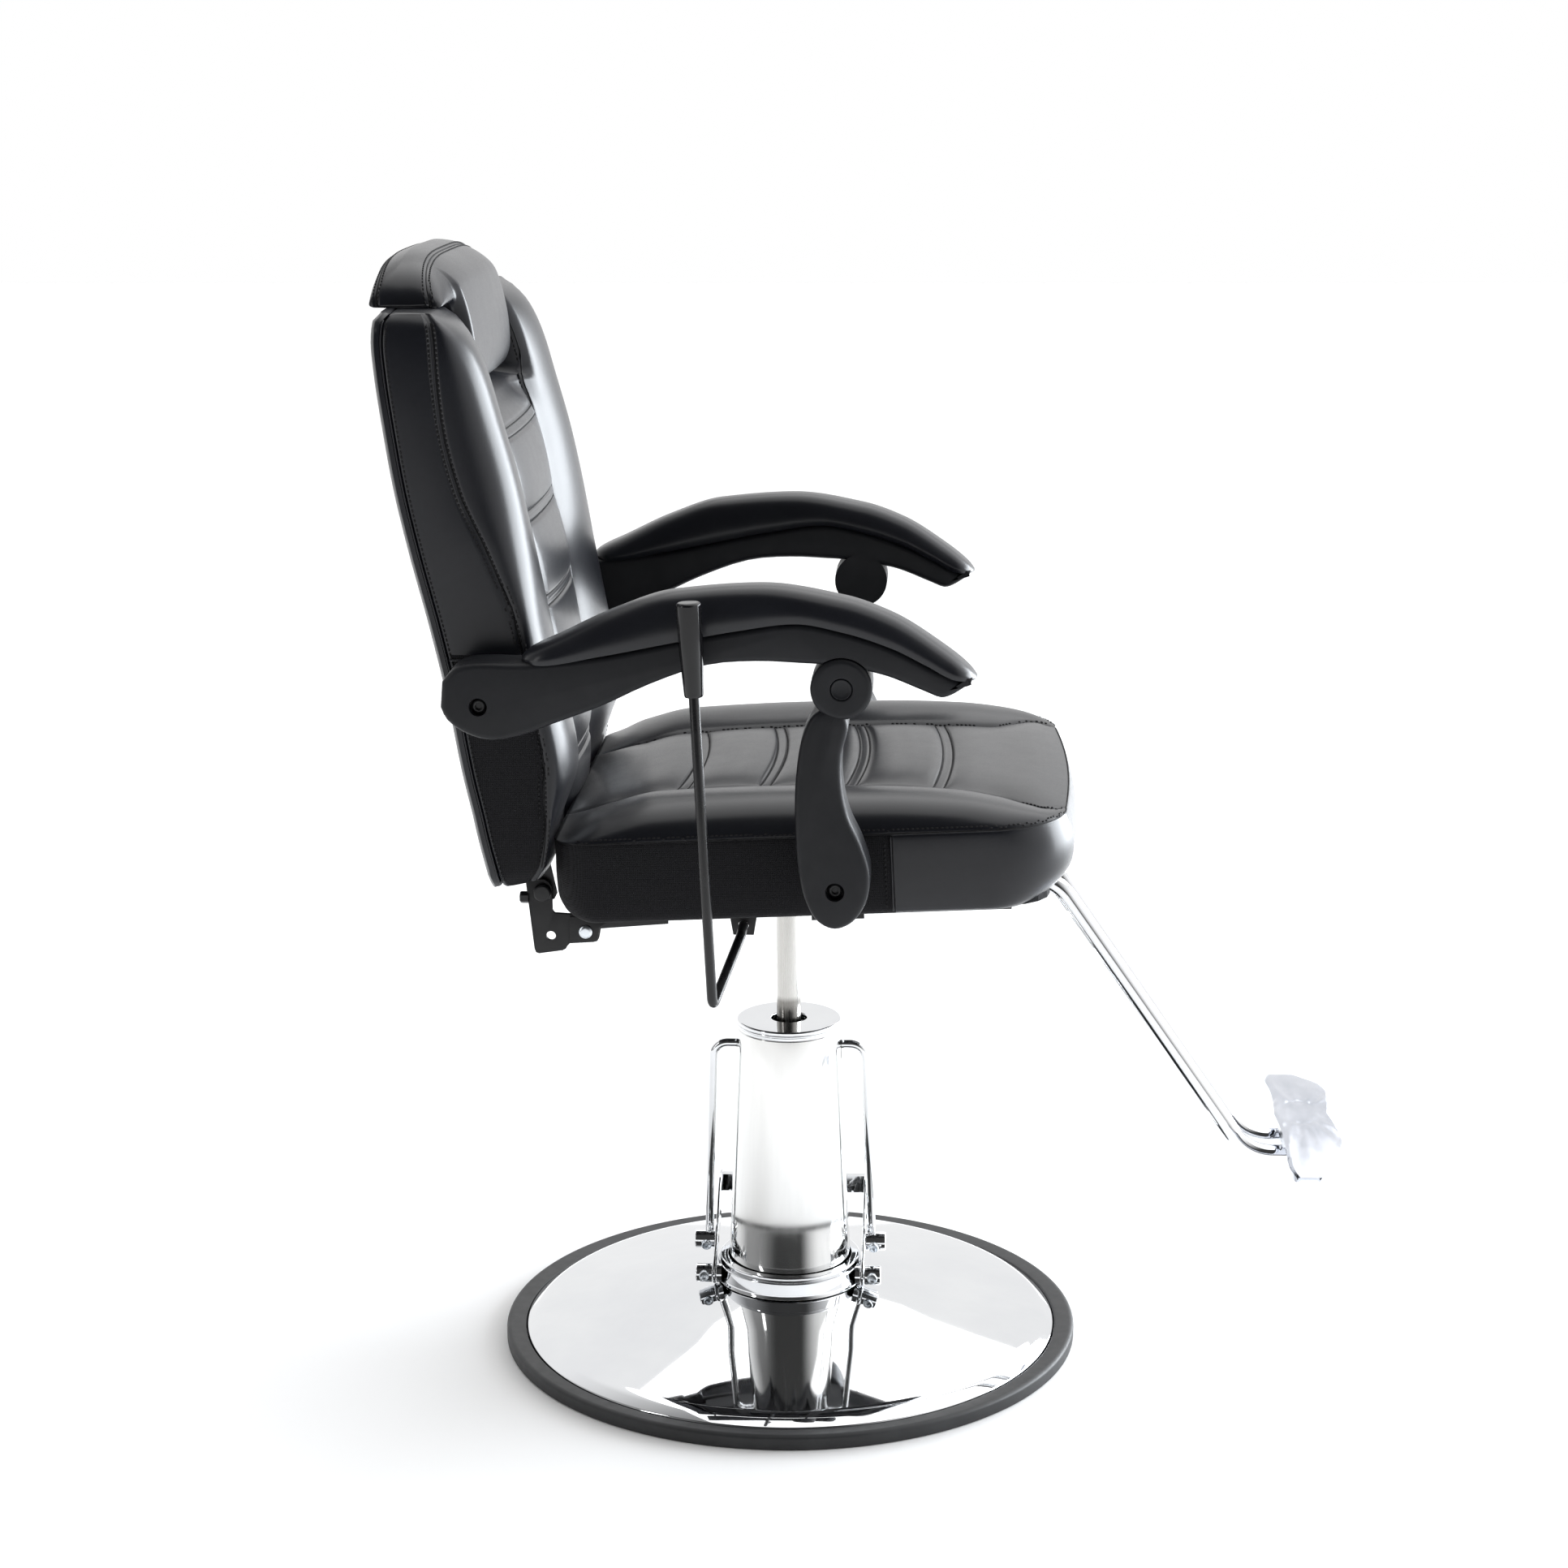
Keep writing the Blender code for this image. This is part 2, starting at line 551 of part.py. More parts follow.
def rounded_rect(x0, x1, w, r, n=4):
    pts = []
    for cx, cy, a0 in ((x1 - r, w - r, 0), (x0 + r, w - r, 90), (x0 + r, -w + r, 180),
                       (x1 - r, -w + r, 270)):
        for j in range(n + 1):
            a = math.radians(a0 + 90 * j / n)
            pts.append((cx + r * math.cos(a), cy + r * math.sin(a)))
    return pts


board = outline("seat_board", rounded_rect(-0.196, 0.262, 0.2355, 0.04, 4), 0.0003, 0.0120,
                "XY", PLY, frame=F)


# Seat cushion: rings of a rounded plan shape, from the hem up over the crown.
# (height, inset, crown lift of the side bolsters over the middle)
def seat_ring(h, inset, sag):
    ring = []
    for x, y in rounded_rect(SEAT_X0 + inset, SEAT_X1 - inset, SEAT_W - inset,
                             max(0.06 - inset, 0.012), 4):
        bow = 0.006 * (1 - (y / SEAT_W) ** 2) if x > 0 else 0.0
        fall = interp(((-0.21, 0.013), (-0.05, 0.0), (0.15, 0.0), (0.29, 0.010)), x)[0]
        ring.append(F @ Vector((x + bow, y, h - fall * (h / 0.11) - sag)))
    return ring


seat_cushion = loft("seat_cushion",
                    [seat_ring(0.0, 0.006, 0), seat_ring(0.008, 0.0, 0),
                     seat_ring(0.050, 0.0, 0), seat_ring(0.078, 0.003, 0),
                     seat_ring(0.098, 0.016, 0), seat_ring(0.112, 0.040, 0),
                     seat_ring(0.113, 0.062, 0), seat_ring(0.104, 0.100, 0),
                     seat_ring(0.102, 0.160, 0)], LEATHER)
for i, (lo, hi) in enumerate(((-0.2001, -0.1905), (0.0750, 0.0845), (0.1905, 0.2001))):
    cut(seat_cushion, rod("back_arm_slot_%d" % i, 0.0460, (HINGE_X, lo, HINGE_Z), (HINGE_X, hi, HINGE_Z),
                          None, 24, cut=True))
cut(seat_cushion,
    outline("board_pocket", rounded_rect(-0.1985, 0.2645, 0.2380, 0.042, 4), -0.01, 0.0124,
            "XY", cut=True, frame=F),
    box("upright_pocket_l", (0.031, 0.2300, -0.01), (0.089, 0.2412, 0.0640), cut=True, frame=F),
    box("upright_pocket_r", (0.031, -0.2412, -0.01), (0.089, -0.2300, 0.0640), cut=True, frame=F),
    rod("seat_bolt_way", 0.0056, (SUP_BOLT[0], -0.27, SUP_BOLT[1]),
        (SUP_BOLT[0], -0.220, SUP_BOLT[1]), None, 12, cut=True),
    rod("seat_bolt_way_l", 0.0056, (SUP_BOLT[0], 0.220, SUP_BOLT[1]),
        (SUP_BOLT[0], 0.27, SUP_BOLT[1]), None, 12, cut=True))

ride("swivel", mount, frame, board, seat_cushion)

for s, side in ((-1, "right"), (1, "left")):
    lo, hi = sorted((s * 0.2000, s * 0.2040))
    br = outline("recline_bracket_" + side,
                 [(-0.2420, 0.5440), (-0.2340, 0.4740), (-0.2310, 0.4720), (-0.2060, 0.4760),
                  (-0.2020, 0.4830), (-0.1760, 0.4840), (-0.1720, 0.4880), (-0.1700, 0.4970),
                  (-0.1050, 0.5030), (-0.1050, 0.5155), (-0.1900, 0.5115), (-0.2170, 0.5130),
                  (-0.2170, 0.5400), (-0.2220, 0.5455), (-0.2360, 0.5475)],
                 lo, hi, "XZ", BLACKSTEEL)
    cut(br,
        rod("bracket_pin_" + side, 0.0062, (HINGE_X, s * 0.19, HINGE_Z),
            (HINGE_X, s * 0.215, HINGE_Z), None, 12, cut=True),
        rod("bracket_hole_" + side, 0.0046, (-0.2190, s * 0.19, 0.4900),
            (-0.2190, s * 0.215, 0.4900), None, 12, cut=True))
    pin = turned("recline_bolt_" + side,
                 [(0.0, 0.2108), (0.0070, 0.2108), (0.0084, 0.2092), (0.0084, 0.2044),
                  (0.0057, 0.2044), (0.0057, 0.1880), (0.0, 0.1880)],
                 BLACKSTEEL, steps=16, closed=False)
    pin.matrix_world = (Matrix.Translation((HINGE_X, 0, HINGE_Z))
                        @ Matrix.Rotation(-s * math.pi / 2, 4, "X"))
    bb = turned("bracket_bolt_" + side,
                [(0.0, 0.2085), (0.0055, 0.2085), (0.0067, 0.2072), (0.0067, 0.2044), (0.0, 0.2044)],
                ZINC, steps=16, closed=False)
    bb.matrix_world = (Matrix.Translation((-0.1850, 0, 0.4950))
                       @ Matrix.Rotation(-s * math.pi / 2, 4, "X"))
    ride("swivel", br, pin, bb)

# ---------------------------------------------------------------- footrest
for s, side in ((-1, "right"), (1, "left")):
    path = bent_path([(0.094, s * TUBE_Y, 0.5045), (0.2714, s * TUBE_Y, 0.5045),
                      (0.4737, s * TUBE_Y, 0.2115), (0.5320, s * TUBE_Y, 0.2115)],
                     [0.045, 0.050], 6)
    ft = tube("footrest_tube_" + side, path, TUBE_R, CHROME, res=4)
    ride("swivel", ft)

rings = []
for i in range(17):
    y = -0.156 + 0.312 * i / 16
    u = abs(y) / 0.156
    end = max(0.0, (u - 0.80) / 0.20)
    x0 = 0.5040 + 0.0020 * math.cos(math.pi * u) + 0.010 * end ** 2
    x1 = 0.5625 - 0.0045 * math.cos(math.pi * u) - 0.014 * end ** 2
    top = 0.2480 - 0.0110 * u * u
    ring = [(x0, y, top - 0.0095), (x0, y, top - 0.0015), (x0 + 0.004, y, top),
            ((x0 + x1) / 2, y, top - 0.0010), (x1 - 0.004, y, top), (x1, y, top - 0.0015),
            (x1, y, top - 0.0095), (x1 - 0.005, y, top - 0.0095), ((x0 + x1) / 2, y, top - 0.0065),
            (x0 + 0.005, y, top - 0.0095)]
    rings.append(ring)
foot = loft("footrest_plate", rings, CAST)
join(foot, box("footrest_boss", (0.5080, -0.0370, 0.2214), (0.5450, 0.0370, 0.2440), CAST))
ride("swivel", foot)

# ------------------------------------------------------------------- lever
LEVER_Y = -0.335
top = Vector((-0.0705, LEVER_Y, 0.8420))
knee = Vector((-0.0524, LEVER_Y, 0.4620))
down = (knee - top).normalized()
lever_path = bent_path([top + down * 0.0700, knee,
                        (LEVER_X, -0.2150, LEVER_Z), (LEVER_X, -0.0950, LEVER_Z)],
                       [0.007, 0.020], 5)
lever = tube("lever_rod", lever_path, 0.0046, BLACKSTEEL, res=2)
grip = turned("lever_grip",
              [(0.0, 0.0), (0.0100, 0.0), (0.0112, -0.0012), (0.0108, -0.040),
               (0.0088, -0.0860), (0.0051, -0.0860), (0.0051, -0.0680), (0.0, -0.0680)],
              GRIPMAT, steps=20, closed=False)
grip.matrix_world = (Matrix.Translation(top)
                     @ Vector((0, 0, -1)).rotation_difference(down).to_matrix().to_4x4())
ride("lever", lever, grip)

# -------------------------------------------------------------- gas spring
gs, gb = Vector((GAS_SEAT[0], GAS_Y, GAS_SEAT[1])), Vector((GAS_BACK[0], GAS_Y, GAS_BACK[1]))
gdir = (gb - gs).normalized()
cyl = turned("gas_spring_cylinder",
             [(0.0, 0.0300), (0.0060, 0.0300), (0.0060, 0.1500), (0.0086, 0.1500),
              (0.0092, 0.1490), (0.0092, 0.0100), (0.0, 0.0100)],
             BLACKSTEEL, steps=16, closed=False)
cyl.matrix_world = Matrix.Translation(gs) @ gdir.to_track_quat("Z", "Y").to_matrix().to_4x4()
join(cyl,
     rod("gas_eye", 0.0070, gs + Vector((0, -0.0050, 0)), gs + Vector((0, 0.0100, 0)), BLACKSTEEL, 16),
     rod("gas_neck", 0.0045, gs + gdir * 0.002, gs + gdir * 0.0140, BLACKSTEEL, 12),
     rod("gas_stub", 0.0032, gs + Vector((0, 0.0080, 0)), gs + Vector((0, 0.0160, 0)), BLACKSTEEL, 12))
gas_len = (gb - gs).length
grod = rod("gas_spring_rod", 0.0042, gs + gdir * 0.0700, gs + gdir * (gas_len - 0.001), STEEL, 12)
join(grod,
     rod("rod_eye", 0.0065, gb + Vector((0, -0.0070, 0)), gb + Vector((0, 0.0050, 0)), STEEL, 16),
     rod("rod_stub", 0.0032, gb + Vector((0, -0.0050, 0)), gb + Vector((0, -0.0125, 0)), STEEL, 12))
ride("gas_cylinder", cyl)
ride("gas_rod", grod)

# -------------------------------------------------------------- back frame
B = BACK_FRAME
bframe = outline("back_frame",
                 [(-0.0120, -0.0060), (-0.0085, -0.0105), (0.0, -0.0125), (0.0085, -0.0105),
                  (0.0120, -0.0060), (0.0120, 0.3000), (-0.0120, 0.3000)],
                 0.1932, 0.1974, "XZ", BLACKSTEEL, frame=B)
fr_b = outline("back_frame_right",
               [(-0.0120, -0.0060), (-0.0085, -0.0105), (0.0, -0.0125), (0.0085, -0.0105),
                (0.0120, -0.0060), (0.0120, 0.3000), (-0.0120, 0.3000)],
               -0.1974, -0.1932, "XZ", BLACKSTEEL, frame=B)
gl = B.inverted() @ Vector((GAS_BACK[0], 0, GAS_BACK[1]))
glever = outline("gas_lever",
                 [(gl.x - 0.008, gl.z - 0.002), (gl.x - 0.003, gl.z - 0.0075),
                  (gl.x + 0.004, gl.z - 0.0070), (gl.x + 0.009, gl.z - 0.001),
                  (0.0095, 0.0600), (0.0095, 0.0980), (-0.0095, 0.0980), (-0.0095, 0.0600)],
                 0.0775, 0.0820, "XZ", BLACKSTEEL, frame=B)
bars = [fr_b,
        box("back_bar_low", (-0.0095, -0.1950, 0.0800), (0.0095, 0.1950, 0.0970), BLACKSTEEL, frame=B),
        box("back_bar_high", (-0.0095, -0.1950, 0.2750), (0.0095, 0.1950, 0.2950), BLACKSTEEL, frame=B),
        glever]
join(bframe, *bars)
for s, side in ((-1, "right"), (1, "left")):
    cut(bframe, rod("frame_pin_" + side, 0.0061, (HINGE_X, s * 0.180, HINGE_Z),
                    (HINGE_X, s * 0.21, HINGE_Z), None, 12, cut=True))
cut(bframe, rod("gas_lever_bore", 0.0036, (GAS_BACK[0], 0.0700, GAS_BACK[1]),
                (GAS_BACK[0], 0.0900, GAS_BACK[1]), None, 12, cut=True))

# ------------------------------------------------------------ back cushion
# (height, rear x, half width, end of side face x, crest x, valley x, valley y)
BACK = ((0.5480, -0.2700, 0.232, -0.244, -0.228, -0.2290, 0.088),
        (0.5600, -0.2730, 0.246, -0.240, -0.220, -0.2240, 0.088),
        (0.6000, -0.2810, 0.250, -0.232, -0.2140, -0.2180, 0.088),
        (0.6180, -0.2855, 0.250, -0.230, -0.2050, -0.2150, 0.088),
        (0.6600, -0.2890, 0.250, -0.228, -0.193, -0.2120, 0.090),
        (0.7300, -0.3035, 0.250, -0.234, -0.204, -0.2200, 0.096),
        (0.8000, -0.3180, 0.250, -0.242, -0.2165, -0.2320, 0.102),
        (0.8700, -0.3330, 0.250, -0.264, -0.2280, -0.2470, 0.111),
        (0.9300, -0.3455, 0.248, -0.290, -0.2400, -0.2610, 0.117),
        (0.9900, -0.3550, 0.243, -0.304, -0.2560, -0.2750, 0.121),
        (1.0350, -0.3610, 0.236, -0.308, -0.2700, -0.2870, 0.124),
        (1.0650, -0.3640, 0.226, -0.312, -0.2860, -0.3000, 0.125),
        (1.0820, -0.3630, 0.208, -0.318, -0.3050, -0.3120, 0.126),
        (1.0885, -0.3560, 0.186, -0.326, -0.320, -0.3230, 0.126))
PANEL_T = 0.010


def back_half(z, rear_off):
    xr, w, xs, xc, xv, s = interp(BACK, z)
    bow = 0.018
    yc = s + (w - s) * 0.55
    pts = []
    for f in (0.0, 0.5, 0.85):
        pts.append((xr + rear_off - bow * (1 - f * f), f * w))
    pts.append((xr + rear_off, w - 0.004))
    pts += [(xs, w), (xs + 0.45 * (xc - xs), w - 0.005), (xs + 0.85 * (xc - xs), w - 0.022),
            (xc, yc), (xc - 0.45 * (xc - xv), (yc + s) / 2), (xv, s), (xv + 0.006, 0.6 * s),
            (xv + 0.008, 0.0)]
    return pts


def back_ring(z, rear_off):
    half = back_half(z, rear_off)
    full = half + [(x, -y) for x, y in half[-2:0:-1]]
    return [(x, y, z) for x, y in full]


levels = [row[0] for row in BACK]
cushion = loft("back_cushion", [back_ring(z, PANEL_T + 0.0010) for z in levels], LEATHER)


def panel_ring(z):
    xr, w = interp(BACK, z)[:2]
    w -= 0.0005
    rear, front = [], []
    for f in (-1.0, -0.85, -0.5, 0.0, 0.5, 0.85, 1.0):
        y = f * (w - 0.004) if abs(f) == 1 else f * w
        x = xr - 0.018 * (1 - f * f)
        rear.append((x, y, z))
        front.append((x + PANEL_T, y, z))
    return rear + front[::-1]


panel = loft("back_panel", [panel_ring(z) for z in levels], LEATHER)

def notch_x(z):
    return -0.3470 + (1.0900 - z) * 0.1311


notch = outline("headrest_notch", [(notch_x(1.0), 1.0), (-0.150, 1.0), (-0.150, 1.2),
                                   (notch_x(1.2), 1.2)], -0.1250, 0.1250, "XZ", cut=True)
cut(cushion, notch)
POST_AT = Vector((-0.3560, 0.060, 1.0900))
for s, tag in ((-1, "r"), (1, "l")):
    p = Vector((POST_AT.x, s * POST_AT.y, POST_AT.z))
    cut(cushion, rod("post_way_" + tag, 0.0064, p - HEAD_DIR * 0.200, p + HEAD_DIR * 0.02,
                     None, 12, cut=True))
    lo, hi = sorted((s * 0.1922, s * 0.1984))
    cut(cushion, box("frame_pocket_" + tag, (-0.0128, lo, -0.03), (0.0128, hi, 0.3010), cut=True, frame=B))
    cut(cushion, rod("arm_bolt_way_" + tag, 0.0056, (ARM_REAR[0], s * 0.225, ARM_REAR[1]),
                     (ARM_REAR[0], s * 0.27, ARM_REAR[1]), None, 12, cut=True))
for s, tag in ((-1, "r"), (1, "l")):
    cut(cushion, rod("hinge_pocket_" + tag, 0.0225, (HINGE_X, s * 0.1950, HINGE_Z),
                     (HINGE_X, s * 0.2080, HINGE_Z), None, 24, cut=True))
cut(cushion,
    box("bar_pocket_low", (-0.0103, -0.1960, 0.0792), (0.0103, 0.1960, 0.0988), cut=True, frame=B),
    box("bar_pocket_high", (-0.0103, -0.1960, 0.2742), (0.0103, 0.1960, 0.2958), cut=True, frame=B),
    box("lever_pocket", (-0.0110, 0.0765, -0.06), (0.0135, 0.0830, 0.0900), cut=True, frame=B))
ride("recline", bframe, cushion, panel)

# ---------------------------------------------------------------- headrest
HEAD_W, HEAD_Z0 = 0.1720, 1.0895


def head_ring(y, pad):
    """Section of the headrest across y: a crown over the wings, with the front pad hanging in the
    notch where pad is 1."""
    u = min(1.0, abs(y) / HEAD_W)
    e = max(0.0, (u - 0.86) / 0.14)
    h = max(0.0060, 0.0495 - 0.0130 * u ** 2.2 - 0.0300 * (1 - math.sqrt(max(0.0, 1 - e * e))))
    rear = -0.3805 - 0.0050 * (1 - u * u) + 0.0060 * e * e
    front = -0.3125 + 0.0040 * (1 - u * u) - 0.0040 * e * e
    z0 = HEAD_Z0
    low = 1.0060
    x_in = notch_x(z0) + 0.0015
    ring = [(x_in, z0), (rear + 0.0035, z0), (rear - 0.0006, z0 + 0.012 * h / 0.0495),
            (rear + 0.0005, z0 + 0.45 * h), (rear + 0.0090, z0 + 0.80 * h), (rear + 0.0260, z0 + 0.985 * h),
            (rear + 0.0430, z0 + 0.955 * h), (front - 0.0120 + 0.004 * pad, z0 + 0.66 * h),
            (front + 0.0105 * pad, z0 + (0.30 - 0.20 * pad) * h),
            (front + 0.0010 + 0.0190 * pad, z0 + 0.01 * h + (1.0450 - z0) * pad),
            (front - 0.0005 + 0.0170 * pad, z0 + 0.0004 + (1.0180 - z0) * pad),
            (front - 0.0060 + 0.0120 * pad, z0 + 0.0002 + (low - z0) * pad)]
    x_low = notch_x(low) + 0.0015
    ring.append((front - 0.0180 + (x_low + 0.004 - front + 0.0180) * pad, z0 + 0.0001 + (low - z0) * pad))
    ring.append((x_in + 0.003 + (x_low - x_in - 0.003) * pad, z0 + (low + 0.004 - z0) * pad))
    return [(x, y, z) for x, z in ring]


head_rings = []
for y, pad in ((0.1720, 0), (0.1680, 0), (0.1560, 0), (0.1400, 0), (0.1230, 0), (0.1205, 0.96), (0.1150, 1),
               (0.0800, 1), (0.0400, 1), (0.0, 1)):
    head_rings.append((y, pad))
head_rings = [(-y, p) for y, p in head_rings] + [(y, p) for y, p in head_rings[-2::-1]]
head = loft("headrest_cushion", [head_ring(y, p) for y, p in head_rings], LEATHER)
posts = None
for s, tag in ((-1, "r"), (1, "l")):
    p = Vector((POST_AT.x, s * POST_AT.y, POST_AT.z))
    cut(head, rod("head_post_way_" + tag, 0.0056, p - HEAD_DIR * 0.02, p + HEAD_DIR * 0.0245,
                  None, 12, cut=True))
    bar = rod("headrest_post_" + ("right" if s < 0 else "left"), 0.0050, p - HEAD_DIR * 0.1850,
              p + HEAD_DIR * 0.0240, CHROME, 12)
    ride("headrest", bar)
ride("headrest", head)

# -------------------------------------------------------------------- arms
ARM_TOP = [(-0.3000, 0.7640), (-0.2880, 0.7760), (-0.2570, 0.7800), (-0.2230, 0.7800),
           (-0.1530, 0.7875), (-0.0900, 0.8000), (-0.0300, 0.8120), (0.0250, 0.8185),
           (0.0690, 0.8105), (0.1130, 0.7960), (0.1420, 0.7815), (0.1740, 0.7660)]
ARM_LOW = [(0.1850, 0.7690), (0.1790, 0.7620), (0.1570, 0.7500), (0.1420, 0.7575),
           (0.1130, 0.7690), (0.0980, 0.7740), (0.0660, 0.7810), (0.0280, 0.7815),
           (-0.0120, 0.7830), (-0.0570, 0.7795), (-0.1090, 0.7610), (-0.1540, 0.7400),
           (-0.1990, 0.7230), (-0.2270, 0.7130), (-0.2540, 0.7080), (-0.2760, 0.7130),
           (-0.2960, 0.7260), (-0.3040, 0.7460)]
PAD_TOP = [(0.1870, 0.7710), (0.1860, 0.7780), (0.1570, 0.8010), (0.1120, 0.8270), (0.0680, 0.8420),
           (-0.0060, 0.8510), (-0.0870, 0.8450), (-0.1420, 0.8270), (-0.1930, 0.8010),
           (-0.2230, 0.7860), (-0.2200, 0.7812)]
for s, side in ((-1, "right"), (1, "left")):
    lo, hi = sorted((s * ARM_IN, s * ARM_OUT))
    top_line = smooth_line(ARM_TOP, 2)
    low_line = smooth_line(ARM_LOW, 2)
    arm = outline("arm_frame_" + side, top_line + low_line, lo, hi, "XZ", PLASTIC)
    lo, hi = sorted((s * ARM_IN, s * 0.2875))
    ear = rod("arm_ear_" + side, DISC_R, (ARM_PIVOT[0], lo, ARM_PIVOT[1]),
              (ARM_PIVOT[0], hi, ARM_PIVOT[1]), PLASTIC, 28)
    bridge = outline("arm_ear_bridge_" + side, [(0.0420, 0.7700), (0.0920, 0.7700), (0.0980, 0.7850),
                                                (0.0340, 0.7900)], lo, hi, "XZ", PLASTIC)
    join(arm, ear, bridge)
    lo, hi = sorted((s * 0.2879, s * 0.330))
    cut(arm,
        rod("disc_pocket_" + side, DISC_R + 0.0008, (ARM_PIVOT[0], lo, ARM_PIVOT[1]),
            (ARM_PIVOT[0], hi, ARM_PIVOT[1]), None, 28, cut=True),
        rod("arm_pin_way_" + side, 0.0064, (ARM_PIVOT[0], s * 0.2650, ARM_PIVOT[1]),
            (ARM_PIVOT[0], s * 0.300, ARM_PIVOT[1]), None, 12, cut=True),
        rod("arm_recess_" + side, 0.0082, (ARM_REAR[0], s * 0.3020, ARM_REAR[1]),
            (ARM_REAR[0], s * 0.330, ARM_REAR[1]), None, 16, cut=True),
        rod("arm_bolt_hole_" + side, 0.0045, (ARM_REAR[0], s * 0.250, ARM_REAR[1]),
            (ARM_REAR[0], s * 0.310, ARM_REAR[1]), None, 12, cut=True))
    lo, hi = sorted((s * 0.2590, s * 0.3160))
    pad_low = [(x, z + 0.0006) for x, z in smooth_line(ARM_TOP[3:], 2)]
    pad_low[0] = (-0.2190, 0.7812)
    armpad = outline("arm_pad_" + side, pad_low + smooth_line(PAD_TOP, 2)[:-1], lo, hi, "XZ", LEATHER,
                     bevel=0.009, segments=1)
    ride("arm_" + side, arm, armpad)

    bolt = turned("arm_bolt_" + side,
                  [(0.0, 0.3075), (0.0066, 0.3075), (0.0072, 0.3067), (0.0072, 0.3026),
                   (0.0040, 0.3026), (0.0040, 0.2300), (0.0, 0.2300)],
                  BLACKSTEEL, steps=12, closed=False)
    bolt.matrix_world = (Matrix.Translation((ARM_REAR[0], 0, ARM_REAR[1]))
                         @ Matrix.Rotation(-s * math.pi / 2, 4, "X"))
    ride("recline", bolt)

    # front support: paddle with a round ear outside the arm's ear
    sup_keys = [(0.0420, 0.7330), (0.0300, 0.7150), (0.0235, 0.6700), (0.0230, 0.6300),
                (0.0260, 0.5900), (0.0330, 0.5580), (0.0450, 0.5370), (0.0600, 0.5305),
                (0.0760, 0.5380), (0.0890, 0.5580), (0.0925, 0.5830), (0.0850, 0.6100),
                (0.0720, 0.6380), (0.0665, 0.6700), (0.0680, 0.7000), (0.0740, 0.7250),
                (0.0620, 0.7360)]
    lo, hi = sorted((s * 0.2640, s * 0.3120))
    sup = outline("arm_support_" + side, smooth_loop(sup_keys, 2), lo, hi, "XZ", PLASTIC)
    lo, hi = sorted((s * 0.2500, s * 0.2884))
    cut(sup, rod("ear_room_" + side, DISC_R + 0.0010, (ARM_PIVOT[0], lo, ARM_PIVOT[1]),
                 (ARM_PIVOT[0], hi, ARM_PIVOT[1]), None, 28, cut=True))
    join(sup, rod("support_disc_" + side, DISC_R, (ARM_PIVOT[0], s * 0.2884, ARM_PIVOT[1]),
                  (ARM_PIVOT[0], s * 0.3135, ARM_PIVOT[1]), PLASTIC, 28))
    cut(sup,
        rod("sup_pin_way_" + side, 0.0064, (ARM_PIVOT[0], s * 0.280, ARM_PIVOT[1]),
            (ARM_PIVOT[0], s * 0.311, ARM_PIVOT[1]), None, 12, cut=True),
        rod("sup_pin_head_way_" + side, 0.0095, (ARM_PIVOT[0], s * 0.3095, ARM_PIVOT[1]),
            (ARM_PIVOT[0], s * 0.330, ARM_PIVOT[1]), None, 20, cut=True),
        rod("sup_recess_" + side, 0.0086, (SUP_BOLT[0], s * 0.3020, SUP_BOLT[1]),
            (SUP_BOLT[0], s * 0.330, SUP_BOLT[1]), None, 16, cut=True),
        rod("sup_bolt_hole_" + side, 0.0054, (SUP_BOLT[0], s * 0.250, SUP_BOLT[1]),
            (SUP_BOLT[0], s * 0.310, SUP_BOLT[1]), None, 12, cut=True))
    pin = turned("arm_pivot_pin_" + side,
                 [(0.0, 0.3130), (0.0080, 0.3130), (0.0091, 0.3122), (0.0091, 0.3100),
                  (0.0060, 0.3100), (0.0060, 0.2655), (0.0, 0.2655)],
                 PLASTIC, steps=16, closed=False)
    pin.matrix_world = (Matrix.Translation((ARM_PIVOT[0], 0, ARM_PIVOT[1]))
                        @ Matrix.Rotation(-s * math.pi / 2, 4, "X"))
    ride("support_" + side, sup, pin)
    bolt = turned("support_bolt_" + side,
                  [(0.0, 0.3075), (0.0066, 0.3075), (0.0072, 0.3067), (0.0072, 0.3026),
                   (0.0040, 0.3026), (0.0040, 0.2300), (0.0, 0.2300)],
                  BLACKSTEEL, steps=12, closed=False)
    bolt.matrix_world = (Matrix.Translation((SUP_BOLT[0], 0, SUP_BOLT[1]))
                         @ Matrix.Rotation(-s * math.pi / 2, 4, "X"))
    ride("swivel", bolt)

bpy.context.view_layer.update()
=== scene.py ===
"""Looks, camera, light and floor for the styling chair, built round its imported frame."""
import json
import math

import bmesh
import bpy
import numpy as np
from mathutils import Matrix, Vector
from mathutils.bvhtree import BVHTree
from mathutils.kdtree import KDTree


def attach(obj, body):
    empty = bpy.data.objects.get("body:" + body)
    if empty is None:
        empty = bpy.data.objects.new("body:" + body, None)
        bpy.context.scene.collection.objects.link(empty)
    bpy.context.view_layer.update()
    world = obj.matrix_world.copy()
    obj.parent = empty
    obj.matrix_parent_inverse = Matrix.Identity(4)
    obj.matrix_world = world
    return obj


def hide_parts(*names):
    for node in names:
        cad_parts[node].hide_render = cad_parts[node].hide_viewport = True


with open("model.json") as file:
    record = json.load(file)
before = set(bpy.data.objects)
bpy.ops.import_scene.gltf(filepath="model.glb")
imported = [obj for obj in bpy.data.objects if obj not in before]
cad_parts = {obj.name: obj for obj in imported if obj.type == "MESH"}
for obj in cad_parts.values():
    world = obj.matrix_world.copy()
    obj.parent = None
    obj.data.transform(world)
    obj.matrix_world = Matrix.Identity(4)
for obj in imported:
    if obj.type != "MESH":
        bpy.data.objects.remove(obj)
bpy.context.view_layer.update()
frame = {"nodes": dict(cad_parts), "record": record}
scene = bpy.context.scene


